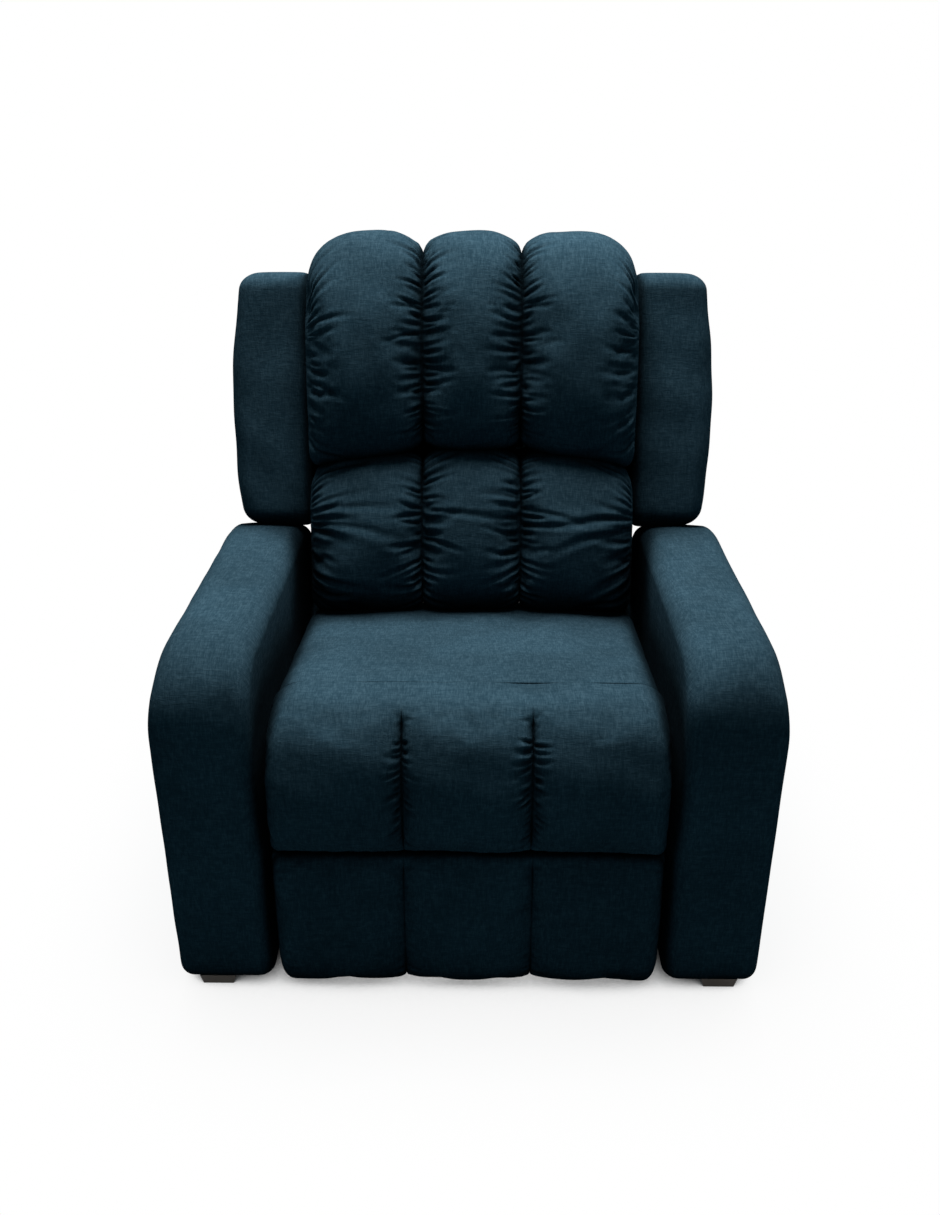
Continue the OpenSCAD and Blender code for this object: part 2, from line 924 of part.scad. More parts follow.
module leg_links() {
  color(steel)
    pair() {
      difference() {
        side_plate(link_x, plate_t) {
          bar2d(leg_arm_low, leg_link_top, 10);
          eye(guide_low, 8);
        }
        pin(leg_arm_low, link_x - 1, link_x + 7, leg_pin + run_gap);
      }
      pin(leg_link_top, 250.8, link_x + 1, leg_pin);
      pin(leg_link_top, 249.3, 250.9, leg_pin + 2.5);
      pin(guide_low, link_x + plate_t - 1, 272.1, leg_pin - 1);
      pin(guide_low, 272, 273.4, leg_pin + 2);
    }
}

guide_dir = (guide_low - guide_top) / norm(guide_low - guide_top);

module leg_guides() {
  color(steel)
    pair()
      difference() {
        side_plate(guide_x, plate_t) {
          bar2d(guide_top, guide_knee, 8.5);
          bar2d(guide_knee, guide_low, 9);
        }
        pin(guide_top, guide_x - 1, guide_x + 7, leg_pin + run_gap);
        side_plate(guide_x - 1, plate_t + 2)
          slot2d(guide_low - guide_dir * 1.6, guide_low + guide_dir * 1.6, leg_pin - 0.5);
      }
}

module leg_stays() {
  color(steel)
    pair()
      difference() {
        side_plate(stay_x, plate_t)
          bar2d(leg_ear, stay_top, 7.5);
        pin(leg_ear, stay_x - 1, stay_x + 7, leg_pin + run_gap);
        pin(stay_top, stay_x - 1, stay_x + 7, leg_pin + 0.4);
      }
}

board_y = -405;
board_t = 12;

module footrest_brackets() {
  color(steel)
    pair() {
      difference() {
        union() {
          side_plate(leg_arm_x, plate_t)
            difference() {
              union() {
                polygon([[board_y + board_t, 96], [board_y + board_t, 246],
                         [-378, 246], [-372, 236], [-375, 188], [-386, 110]]);
                eye(leg_link_top, 9.5);
                eye(stay_top, 9);
              }
              eye(leg_link_top, leg_pin + run_gap);
            }
          translate([226, board_y + board_t, 96])
            cube([leg_arm_x - 225, 3, 76]);
        }
        translate([200, board_y - 20, 0]) cube([100, 20 + board_t, 300]);
      }
      pin(stay_top, 243.7, leg_arm_x + 1, leg_pin);
      pin(stay_top, 242.2, 243.8, leg_pin + 2.5);
    }
}

module footrest_board() {
  color(timber)
    translate([-280, board_y + board_t, 26])
      rotate([90, 0, 0])
        linear_extrude(board_t)
          rounded2d([560, 222], 18);
}

footrest_outline = pad_outline(15, 259, -board_y, 440, 17, 24, 6, 0, 4);
footrest_seams = [-leg_half, -100, 100, leg_half];

module footrest_pad() {
  color(fabric)
    channelled(leg_half, footrest_seams, footrest_outline, 9, 20, 6);
}

base_rail(-1);  // base_rail_left
base_rail(1);  // base_rail_right
base_cross_front();
base_cross_rear();
base_glides();
lift_motor();
lift_rod();
lift_arm(-1);  // lift_arm_left
lift_arm(1);  // lift_arm_right
lift_torque_tube();
lift_followers();
chassis_plate(-1);  // side_plate_left
chassis_plate(1);  // side_plate_right
cross_tube_front();
cross_tube_rear();
side_rail(-1);  // side_rail_left
side_rail(1);  // side_rail_right
seat_rail_front();
seat_rail_rear();
rear_panel();
arm_frame(-1);  // arm_frame_left
arm_frame(1);  // arm_frame_right
arm_pad(-1);  // arm_pad_left
arm_pad(1);  // arm_pad_right
arm_feet();
frame_bolts();
seat_springs();
seat_cushion();
seat_bolster();
recline_motor();
recline_rod();
leg_motor();
leg_rod();
control_panel();
button_up();
button_down();
back_bracket(-1);  // back_bracket_left
back_bracket(1);  // back_bracket_right
back_crank();
back_stile(-1);  // back_stile_left
back_stile(1);  // back_stile_right
back_rail_top();
back_rail_bottom();
back_springs();
lumbar_cushion();
head_cushion();
wing(-1);  // wing_left
wing(1);  // wing_right
outside_back();
leg_arm(-1);  // leg_arm_left
leg_arm(1);  // leg_arm_right
leg_torque_tube();
leg_links();
leg_guides();
leg_stays();
footrest_brackets();
footrest_board();
footrest_pad();
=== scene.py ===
"""Dresses the lift recliner: upholstery, finishes, controls, floor, lights and camera.

Lengths are metres in the chair's own frame: X is its width, it faces -Y, and the floor is Z = 0.
"""

import json
import math
import zlib

import bpy
import numpy as np
from mathutils import Matrix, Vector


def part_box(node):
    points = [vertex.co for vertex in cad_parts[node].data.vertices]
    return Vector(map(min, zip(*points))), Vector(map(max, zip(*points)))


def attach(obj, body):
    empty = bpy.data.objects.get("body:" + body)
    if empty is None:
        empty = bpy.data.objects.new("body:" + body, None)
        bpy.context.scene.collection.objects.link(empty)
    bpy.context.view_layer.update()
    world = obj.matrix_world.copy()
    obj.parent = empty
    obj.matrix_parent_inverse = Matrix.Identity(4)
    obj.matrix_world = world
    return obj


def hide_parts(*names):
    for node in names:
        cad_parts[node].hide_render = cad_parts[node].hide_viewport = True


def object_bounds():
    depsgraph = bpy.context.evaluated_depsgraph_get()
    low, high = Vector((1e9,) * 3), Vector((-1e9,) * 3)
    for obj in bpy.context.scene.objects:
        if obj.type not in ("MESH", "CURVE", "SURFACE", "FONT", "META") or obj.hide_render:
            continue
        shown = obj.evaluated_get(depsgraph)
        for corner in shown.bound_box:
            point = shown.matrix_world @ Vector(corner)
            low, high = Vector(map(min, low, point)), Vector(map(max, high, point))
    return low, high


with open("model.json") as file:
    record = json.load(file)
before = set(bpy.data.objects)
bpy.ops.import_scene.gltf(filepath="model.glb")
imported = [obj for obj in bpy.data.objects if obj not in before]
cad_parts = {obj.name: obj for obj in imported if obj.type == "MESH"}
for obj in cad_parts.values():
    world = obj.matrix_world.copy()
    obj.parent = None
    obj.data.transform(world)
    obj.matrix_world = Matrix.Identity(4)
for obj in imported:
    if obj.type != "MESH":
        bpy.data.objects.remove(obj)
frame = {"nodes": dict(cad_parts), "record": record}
cad_low, cad_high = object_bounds()


# ---------- places taken from the chair ----------

BACK_LEAN = math.radians(14.5)
BACK_REAR = (0.280, 0.360)  # y and z of the leaning back's lower rear corner
FRONT_Y = cad_low.y  # the arms' fronts


# ---------- camera ----------

SENSOR_MM = 36.0  # spans the longer side of the picture, its height
PHOTO_HEIGHT_PX = 1215
FOCAL_PX = 1188
CAMERA_PITCH = math.radians(27.0)
CAMERA_TURN = math.radians(0.6)
CAMERA_HEIGHT = 1.409
CAMERA_AHEAD = 1.412  # in front of the arm fronts
CAMERA_ASIDE = 0.018


def make_camera():
    data = bpy.data.cameras.new("camera")
    data.sensor_width = SENSOR_MM
    data.lens = FOCAL_PX / PHOTO_HEIGHT_PX * SENSOR_MM
    camera = bpy.data.objects.new("camera", data)
    camera.location = (CAMERA_ASIDE, FRONT_Y - CAMERA_AHEAD, CAMERA_HEIGHT)
    camera.rotation_euler = (math.pi / 2 - CAMERA_PITCH, 0, CAMERA_TURN)
    bpy.context.scene.collection.objects.link(camera)
    bpy.context.scene.camera = camera


make_camera()


# ---------- node materials ----------


class Nodes:
    """A short way to write a material's node tree."""

    def __init__(self, name):
        self.material = bpy.data.materials.new(name)
        self.material.use_nodes = True
        self.tree = self.material.node_tree
        self.shader = self.tree.nodes["Principled BSDF"]
        self.coordinates = self.add("TexCoord").outputs

    def add(self, kind, inputs=(), **settings):
        node = self.tree.nodes.new("ShaderNode" + kind)
        for key, value in settings.items():
            setattr(node, key, value)
        for key, value in dict(inputs).items():
            self.put(node.inputs[key], value)
        return node

    def put(self, socket, value):
        if isinstance(value, bpy.types.NodeSocket):
            self.tree.links.new(value, socket)
        else:
            socket.default_value = value

    def math(self, operation, a, b=0.0, clamp=False):
        node = self.add("Math", {0: a, 1: b}, operation=operation, use_clamp=clamp)
        return node.outputs[0]

    def mix(self, factor, a, b, kind="FLOAT", blend="MIX"):
        """Mixes two values, or two colours where kind is RGBA."""
        node = self.add("Mix", data_type=kind)
        if kind == "RGBA":
            node.blend_type = blend
        at = {"FLOAT": (0, 2, 3, 0), "RGBA": (0, 6, 7, 2)}[kind]
        self.put(node.inputs[at[0]], factor)
        self.put(node.inputs[at[1]], a)
        self.put(node.inputs[at[2]], b)
        return node.outputs[at[3]]

    def stretched(self, scales, detail=2.0):
        """Noise stretched along the axes: scales are features per metre."""
        mapping = self.add("Mapping", {"Vector": self.coordinates["Object"], "Scale": scales})
        noise = self.add(
            "TexNoise", {"Vector": mapping.outputs[0], "Scale": 1.0, "Detail": detail}
        )
        return noise.outputs["Fac"]

    def remap(self, value, low, high, to_low=0.0, to_high=1.0):
        """A smooth step from to_low, where value is low, to to_high, where it is high."""
        node = self.add(
            "MapRange",
            {"Value": value, 1: low, 2: high, 3: to_low, 4: to_high},
            interpolation_type="SMOOTHSTEP",
        )
        return node.outputs[0]

    def bump(self, height, distance, strength=1.0, normal=None):
        node = self.add(
            "Bump", {"Height": height, "Distance": distance, "Strength": strength}
        )
        if normal is not None:
            self.put(node.inputs["Normal"], normal)
        return node.outputs[0]

    def finish(self, colour, roughness, normal=None, **fixed):
        """fixed values go on the shader's own sockets."""
        self.put(self.shader.inputs["Base Color"], colour)
        self.put(self.shader.inputs["Roughness"], roughness)
        if normal is not None:
            self.put(self.shader.inputs["Normal"], normal)
        for key, value in fixed.items():
            self.shader.inputs[key.replace("_", " ")].default_value = value
        return self.material


DARK_YARN = (0.0090, 0.0248, 0.0368, 1)
MID_YARN = (0.0200, 0.0435, 0.0600, 1)
PALE_YARN = (0.0450, 0.0840, 0.1090, 1)
THREADS = 620.0  # threads per metre
SLUB = 95.0  # how often a thread thickens, per metre of its length
BLOTCH = 7.0  # patches of paler and darker dye, per metre
THREAD_RISE = 0.0007
SLUB_RISE = 0.0012
SEAM_PAINTED_SHADE = 0.45  # painted shade: how bright the cloth is painted deep in a seam
CONTACT_PAINTED_SHADE = 0.20  # painted shade: how bright the cloth is painted where it meets other cloth
CONTACT_REACH = 0.09  # from how far away other cloth paints shade on it


def woven_fabric():
    """Heathered plain weave: warp threads run up the chair, weft threads across it."""
    n = Nodes("navy_weave")
    facing = n.add("SeparateXYZ", {0: n.coordinates["Normal"]}).outputs[0]
    sideways = n.remap(n.math("ABSOLUTE", facing), 0.62, 0.82)

    def threads(front, side, detail=2.0):
        """Noise with one set of scales on the front and another on the sides."""
        return n.mix(sideways, n.stretched(front, detail), n.stretched(side, detail))

    wide, wider, seldom = THREADS / 3, THREADS / 3.4, SLUB / 2
    warp = threads((THREADS, SLUB, SLUB), (SLUB, THREADS, SLUB))
    weft = threads((SLUB, THREADS, THREADS), (SLUB, SLUB, THREADS))
    slub = threads((wide, seldom, seldom), (seldom, wide, seldom), 3.0)
    bars = threads((seldom, wider, wider), (seldom, seldom, wider), 3.0)
    uneven = n.math("ADD", slub, bars)

    fleck = n.math("ADD", n.math("MULTIPLY", warp, 0.55), n.math("MULTIPLY", weft, 0.45))
    yarn = n.math("ADD", fleck, n.math("MULTIPLY", uneven, 0.35))
    pale = n.remap(yarn, 0.80, 1.04, 0.0, 0.48)
    dark = n.remap(yarn, 0.86, 0.66, 0.0, 0.50)
    colour = n.mix(pale, MID_YARN, PALE_YARN, "RGBA")
    colour = n.mix(dark, colour, DARK_YARN, "RGBA")
    # The yarn colour is multiplied by dye blotches and by painted shade in seams, creases and gaps.
    colour = n.mix(1.0, colour, cloth_dye_and_painted_shade(n), "RGBA", "MULTIPLY")

    weave = n.bump(n.math("ADD", warp, weft), THREAD_RISE, 0.50)
    nap = n.bump(uneven, SLUB_RISE, 0.30, weave)
    roughness = n.remap(fleck, 0.35, 0.65, 0.96, 0.80)
    return n.finish(
        colour,
        roughness,
        nap,
        Sheen_Weight=0.0015,
        Sheen_Roughness=0.5,
        Sheen_Tint=(0.60, 0.85, 1.0, 1),
        IOR=1.01,
    )


def cloth_dye_and_painted_shade(n):
    """A grey that dims the cloth in dye blotches, and paints shade in its seams and creases
    and where it meets other cloth.

    The mesh attribute read here, 1 deep in a seam and 0 on open cloth, sets that painted seam
    shade.
    """
    blotch = n.stretched((BLOTCH, BLOTCH, BLOTCH), 3.0)
    dye_and_painted_shade = n.remap(blotch, 0.35, 0.68, 0.90, 1.12)
    # Painted shade: the cloth is darkened deep in its seams and creases, where shade falls.
    painted_crease_shade = n.add("Attribute", attribute_name="painted_crease_shade").outputs["Fac"]
    dye_and_painted_shade = n.math("MULTIPLY", dye_and_painted_shade, n.remap(painted_crease_shade, 0.0, 1.0, 1.0, SEAM_PAINTED_SHADE))
    # Painted shade: ambient occlusion darkens the cloth's colour in gaps and where it meets other
    # cloth.
    occlusion_for_painted_shade = n.add("AmbientOcclusion", {"Distance": CONTACT_REACH}, samples=8).outputs["AO"]
    dye_and_painted_shade = n.math("MULTIPLY", dye_and_painted_shade, n.remap(occlusion_for_painted_shade, 0.30, 0.95, CONTACT_PAINTED_SHADE, 1.0))
    return n.add("CombineColor", {0: dye_and_painted_shade, 1: dye_and_painted_shade, 2: dye_and_painted_shade}).outputs[0]


def powder_coat():
    """Black powder coat with its fine orange-peel skin and dulled high spots."""
    n = Nodes("black_powder_coat")
    peel = n.stretched((420.0, 420.0, 420.0))
    scuff = n.stretched((22.0, 22.0, 22.0), detail=6.0)
    colour = n.mix(
        n.remap(scuff, 0.42, 0.72), (0.018, 0.019, 0.021, 1), (0.036, 0.037, 0.040, 1), "RGBA"
    )
    roughness = n.remap(scuff, 0.3, 0.75, 0.42, 0.62)
    return n.finish(colour, roughness, n.bump(peel, 0.0006, 0.5), Specular_IOR_Level=0.45)


def zinc_plate():
    """Plated steel with faint spangle and drawing lines."""
    n = Nodes("zinc_plate")
    spangle = n.add("TexVoronoi", {"Vector": n.coordinates["Object"], "Scale": 160.0})
    patch = n.add("SeparateColor", {0: spangle.outputs["Color"]}).outputs[0]
    lines = n.stretched((30.0, 30.0, 900.0), detail=1.0)
    colour = n.mix(
        n.remap(patch, 0.1, 0.9), (0.46, 0.47, 0.49, 1), (0.66, 0.67, 0.69, 1), "RGBA"
    )
    roughness = n.math("ADD", n.remap(patch, 0, 1, 0.26, 0.40), n.math("MULTIPLY", lines, 0.08))
    return n.finish(colour, roughness, n.bump(lines, 0.0002, 0.4), Metallic=1.0)


def plain_timber():
    """Birch-coloured board: long grain, darker late wood and a few pores."""
    n = Nodes("plain_timber")
    grain = n.stretched((26.0, 3.2, 150.0), detail=5.0)
    pores = n.stretched((60.0, 24.0, 900.0), detail=2.0)
    colour = n.mix(
        n.remap(grain, 0.36, 0.66), (0.42, 0.28, 0.15, 1), (0.62, 0.46, 0.28, 1), "RGBA"
    )
    colour = n.mix(n.remap(pores, 0.66, 0.76), colour, (0.24, 0.15, 0.08, 1), "RGBA")
    roughness = n.remap(grain, 0.3, 0.7, 0.72, 0.58)
    return n.finish(colour, roughness, n.bump(pores, 0.0004, 0.5))


def moulded_plastic(name, low, high, roughness_low, roughness_high):
    """Moulded plastic with a fine grain; its colour drifts between low and high."""
    n = Nodes(name)
    grain = n.stretched((1400.0, 1400.0, 1400.0), detail=1.0)
    cloud = n.stretched((28.0, 28.0, 28.0), detail=4.0)
    colour = n.mix(n.remap(cloud, 0.35, 0.7), low, high, "RGBA")
    roughness = n.remap(cloud, 0.3, 0.7, roughness_low, roughness_high)
    return n.finish(colour, roughness, n.bump(grain, 0.0003, 0.6), Specular_IOR_Level=0.4)


FINISHES = {
    "upholstery": woven_fabric(),
    "frame_steel": powder_coat(),
    "zinc": zinc_plate(),
    "timber": plain_timber(),
    "black_plastic": moulded_plastic(
        "black_plastic", (0.020, 0.020, 0.022, 1), (0.034, 0.034, 0.037, 1), 0.44, 0.58
    ),
    "foot_plastic": moulded_plastic(
        "foot_plastic", (0.105, 0.078, 0.062, 1), (0.155, 0.118, 0.095, 1), 0.45, 0.62
    ),
    "button_grey": moulded_plastic(
        "button_grey", (0.27, 0.28, 0.30, 1), (0.34, 0.35, 0.37, 1), 0.38, 0.5
    ),
}


def finish_cad_nodes():
    """Each part that comes from the CAD model gets its full finish."""
    slots = {s["node"]: s["material_slot"] for s in frame["record"]["subparts"]}
    for name, obj in frame["nodes"].items():
        for place in obj.material_slots:
            place.material = FINISHES[slots[name]]


# ---------- outlines ----------


def arc(centre, radius, start, end, steps=14):
    """Points on a round corner; angles in degrees."""
    turn = np.radians(np.linspace(start, end, steps + 1))
    return np.column_stack([centre[0] + radius * np.cos(turn), centre[1] + radius * np.sin(turn)])


def bowed(start, end, bow, steps=12):
    """A side that bows out by bow to the right of its direction; its ends are left out."""
    start, end = np.array(start, float), np.array(end, float)
    t = np.linspace(0, 1, steps + 1)[1:-1, None]
    along = (end - start) / np.linalg.norm(end - start)
    side = np.array([along[1], -along[0]])
    return start + (end - start) * t + side * bow * 4 * t * (1 - t)


def stuffed_face(bottom, front, top, power_low, power_high, steps=24):
    """The swelling front of a cushion in side view, from its underside round to its top.

    bottom and top are where the face leaves the underside and the top; front is the fullest
    point. The higher the power, the squarer the corner.
    """
    turn = np.linspace(0, np.pi / 2, steps + 1)
    (w_low, v_low), (w_front, v_mid), (w_high, v_high) = bottom, front, top
    lower = np.column_stack([
        w_low + (w_front - w_low) * np.sin(turn) ** (2 / power_low),
        v_mid - (v_mid - v_low) * np.cos(turn) ** (2 / power_low),
    ])
    upper = np.column_stack([
        w_high + (w_front - w_high) * np.cos(turn) ** (2 / power_high),
        v_mid + (v_high - v_mid) * np.sin(turn) ** (2 / power_high),
    ])
    return np.vstack([lower, upper[1:]])


def resampled(points, step_at):
    """The closed outline walked again, with step_at(point) between points."""
    closed = np.vstack([points, points[:1]])
    length = np.concatenate([[0], np.cumsum(np.linalg.norm(np.diff(closed, axis=0), axis=1))])
    place, at = [], 0.0
    while at < length[-1]:
        place.append(at)
        here = [np.interp(at, length, closed[:, k]) for k in (0, 1)]
        at += step_at(here)
    place = np.array(place) * length[-1] / at
    return np.column_stack([np.interp(place, length, closed[:, k]) for k in (0, 1)])


def outward(points):
    """Unit normals of a closed outline that runs counterclockwise."""
    ahead = np.roll(points, -1, axis=0) - np.roll(points, 1, axis=0)
    normal = np.column_stack([ahead[:, 1], -ahead[:, 0]])
    return normal / np.linalg.norm(normal, axis=1)[:, None]


def smoothed(values, rounds):
    """Values round a closed outline, each averaged with its neighbours so many times."""
    for _ in range(rounds):
        values = (np.roll(values, 1, axis=0) + values * 2 + np.roll(values, -1, axis=0)) / 4
    return values


def walked(points):
    """Distance along the outline to each of its points."""
    steps = np.linalg.norm(np.diff(points, axis=0), axis=1)
    return np.concatenate([[0], np.cumsum(steps)])


def smoothstep(x, low, high):
    """0 up to low and 1 from high on, with a smooth rise between them."""
    t = np.clip((x - low) / (high - low), 0, 1)
    return t * t * (3 - 2 * t)


# ---------- soft skins ----------

# Frames: y and z of the origin, and the angle by which the frame leans back.
LEANING = (BACK_REAR[0], BACK_REAR[1], BACK_LEAN)
UPRIGHT = (0.0, 0.0, 0.0)


def placed(x, depth, height, frame_at):
    """Points given in a frame: depth runs forward, height up the lean."""
    y0, z0, lean = frame_at
    y = y0 - depth * math.cos(lean) + height * math.sin(lean)
    z = z0 + depth * math.sin(lean) + height * math.cos(lean)
    return np.stack([x + 0 * y, y, z], axis=-1)


def skin(name, rings, painted_crease_shade=None, caps=6):
    """A closed mesh over a stack of rings, with so many smaller rings in each flat end."""
    count, around, _ = rings.shape
    shade = np.zeros((count, around)) if painted_crease_shade is None else painted_crease_shade
    shares = [1 - (k / (caps + 1)) ** 0.9 for k in range(1, caps + 1)]
    ends, fades = [], []
    for end in (0, count - 1):
        middle = rings[end].mean(axis=0)
        ends.append(np.array([middle + (rings[end] - middle) * share for share in shares]))
        fades.append(np.repeat(shade[end][None], caps, axis=0) * 0.5)
    points = np.concatenate([ends[0][::-1], rings, ends[1]])
    shades = np.concatenate([fades[0], shade, fades[1]])
    tall = len(points)
    index = np.arange(tall * around).reshape(tall, around)
    here, beside = index[:-1], np.roll(index[:-1], -1, axis=1)
    above, corner = index[1:], np.roll(index[1:], -1, axis=1)
    quads = np.stack([here, beside, corner, above], axis=-1).reshape(-1, 4)
    mesh = bpy.data.meshes.new(name)
    lids = [list(index[0][::-1]), list(index[-1])]
    mesh.from_pydata(points.reshape(-1, 3), [], [*quads.tolist(), *lids])
    mesh.polygons.foreach_set("use_smooth", [True] * len(mesh.polygons))
    # This attribute carries the painted shade of seams and creases to the cloth's colour.
    layer = mesh.attributes.new("painted_crease_shade", "FLOAT", "POINT")
    layer.data.foreach_set("value", shades.reshape(-1).astype(np.float32))
    obj = bpy.data.objects.new(name, mesh)
    bpy.context.scene.collection.objects.link(obj)
    face_outward(obj)
    return obj


SIMULATED_FRAMES = 16
MOST_MOVED = 0.022  # the cap on how far a point moves


def stuffed(name, rings, held, pressure, growth):
    """Cloth simulation of a closed skin: how far each point of its rings moves."""
    caps = 3
    obj = skin(name + "_cloth", rings, caps=caps)
    count, around, _ = rings.shape
    first = caps * around
    start = np.empty(len(obj.data.vertices) * 3, np.float32)
    obj.data.vertices.foreach_get("co", start)
    group = obj.vertex_groups.new(name="held")
    weights = np.ones((count + 2 * caps, around))
    weights[caps:-caps] = held
    for index, weight in enumerate(weights.reshape(-1)):
        group.add([index], float(weight), "REPLACE")
    cloth = obj.modifiers.new("cloth", "CLOTH")
    settings = cloth.settings
    settings.quality = 6
    settings.mass = 0.25
    settings.tension_stiffness = 14
    settings.compression_stiffness = 8
    settings.shear_stiffness = 6
    settings.bending_stiffness = 0.25
    settings.use_pressure = True
    settings.uniform_pressure_force = pressure
    settings.shrink_min = -growth
    settings.vertex_group_mass = group.name
    settings.effector_weights.gravity = 0.0
    cloth.collision_settings.use_collision = False
    cloth.point_cache.frame_start = 1
    cloth.point_cache.frame_end = SIMULATED_FRAMES
    scene = bpy.context.scene
    for number in range(1, SIMULATED_FRAMES + 1):
        scene.frame_set(number)
    settled = obj.evaluated_get(bpy.context.evaluated_depsgraph_get())
    end = np.empty_like(start)
    settled.data.vertices.foreach_get("co", end)
    scene.frame_set(1)
    bpy.data.objects.remove(obj)
    move = (end - start).reshape(-1, 3)[first:first + count * around]
    size = np.linalg.norm(move, axis=1)[:, None]
    move *= np.minimum(1, MOST_MOVED / np.maximum(size, 1e-9))
    return move.reshape(count, around, 3)


def face_outward(obj):
    """Turns the faces over if the closed mesh is inside out."""
    mesh = obj.data
    mesh.calc_loop_triangles()
    co = np.array([v.co for v in mesh.vertices])
    tri = np.array([t.vertices[:] for t in mesh.loop_triangles])
    a, b, c = co[tri[:, 0]], co[tri[:, 1]], co[tri[:, 2]]
    if np.einsum("ij,ij->i", a, np.cross(b, c)).sum() < 0:
        mesh.flip_normals()


def upholster(obj, node):
    """obj stands for the node's cushion and rides where it rode."""
    bodies = frame["record"]["behaviour"]["bodies"]
    body = next(b for b, members in bodies.items() if node in members)
    obj.data.materials.append(FINISHES["upholstery"])
    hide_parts(node)
    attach(obj, body)


LUMP_WAVES = 9


def lumps(rnd, across, along, size):
    """Slow, uneven swelling of stuffed cloth."""
    total = np.zeros(np.broadcast(across, along).shape)
    for _ in range(LUMP_WAVES):
        turn = rnd.uniform(0, 2 * np.pi)
        wave = 2 * np.pi / rnd.uniform(0.07, 0.20)
        start = rnd.uniform(0, 2 * np.pi)
        total += np.sin(wave * (across * math.cos(turn) + along * math.sin(turn)) + start)
    return total * size / 3


RIDGE_SHARE = 0.28  # height of the ridges beside a crease, as a share of its depth
RIDGE_AT = 1.9  # their distance from it, in widths


class Gathers:
    """Short creases that run away from a gathered seam, each with a ridge on both sides."""

    def __init__(self, seam, side, span, count, length, depth, width, climb):
        self.seam = seam
        self.side = side  # 1 where the creases run towards +X
        self.span = span  # lowest and highest place along the face
        self.count = count
        self.length = length
        self.depth = depth
        self.width = width
        self.climb = climb  # climb at the bottom, middle and top of the face

    def relief(self, rnd, x, s):
        away = (x - self.seam) * self.side
        low, high = self.span
        total = np.zeros(np.broadcast(x, s).shape)
        pitch = (high - low) / self.count
        for k in range(self.count):
            start = low + pitch * (k + 0.5 + rnd.uniform(-0.32, 0.32))
            share = (start - low) / (high - low)
            climb = np.interp(share, (0, 0.5, 1), self.climb) + rnd.uniform(-0.12, 0.12)
            length = self.length * rnd.uniform(0.40, 1.45)
            depth = self.depth * rnd.uniform(0.45, 1.25)
            width = self.width * rnd.uniform(0.75, 1.3)
            bend = rnd.uniform(-4, 4) * away * away
            z = (s - start - climb * away - bend) / (width * (1 + 9 * np.clip(away, 0, 1)))
            groove = -np.exp(-z * z)
            ridges = RIDGE_SHARE * np.exp(-((np.abs(z) - RIDGE_AT) ** 2))
            taper = smoothstep(away, -0.001, 0.006) * (1 - smoothstep(away, 0.25 * length, length))
            total += depth * (groove + ridges) * taper
        return total


def channel_stations(seams, each):
    """Stations across a channelled cushion, closest at its seams and sides."""
    places = []
    for left, right in zip(seams[:-1], seams[1:]):
        t = np.sin(np.linspace(-np.pi / 2, np.pi / 2, each + 1))
        t = 0.8 * t + 0.2 * np.linspace(-1, 1, each + 1)
        places.extend((left + right) / 2 + (right - left) / 2 * t[:-1])
    return np.array([*places, seams[-1]])


def channel_crown(x, seams, roundness):
    """1 on a channel's crest and 0 in its seams; the outer sides are left to the edge."""
    crown = np.ones_like(x)
    last = len(seams) - 2
    for k, (left, right) in enumerate(zip(seams[:-1], seams[1:])):
        inside = (x >= left - 1e-6) & (x <= right + 1e-6)
        q = np.clip(2 * (x - left) / (right - left) - 1, -1, 1)
        outer = (k == 0) & (q < 0) | (k == last) & (q > 0)
        q = np.where(outer, q * 0.55, q)
        crown = np.where(inside, (1 - np.abs(q) ** roundness) ** 0.5, crown)
    return crown


SIDE_GATHER_INSET = 0.004  # how far inside a cushion's side its creases start
# Painted shade in the gathers' grooves: CREASE_SHADE darkens the cloth where one is FULL_CREASE
# deep.
FULL_CREASE = 0.004  # the depth at which a crease has its full shade
CREASE_SHADE = 0.35
HOOK_CLEARANCE = 0.0015
FREE_RISE = 1.6  # how fast the cloth comes free where its channels begin


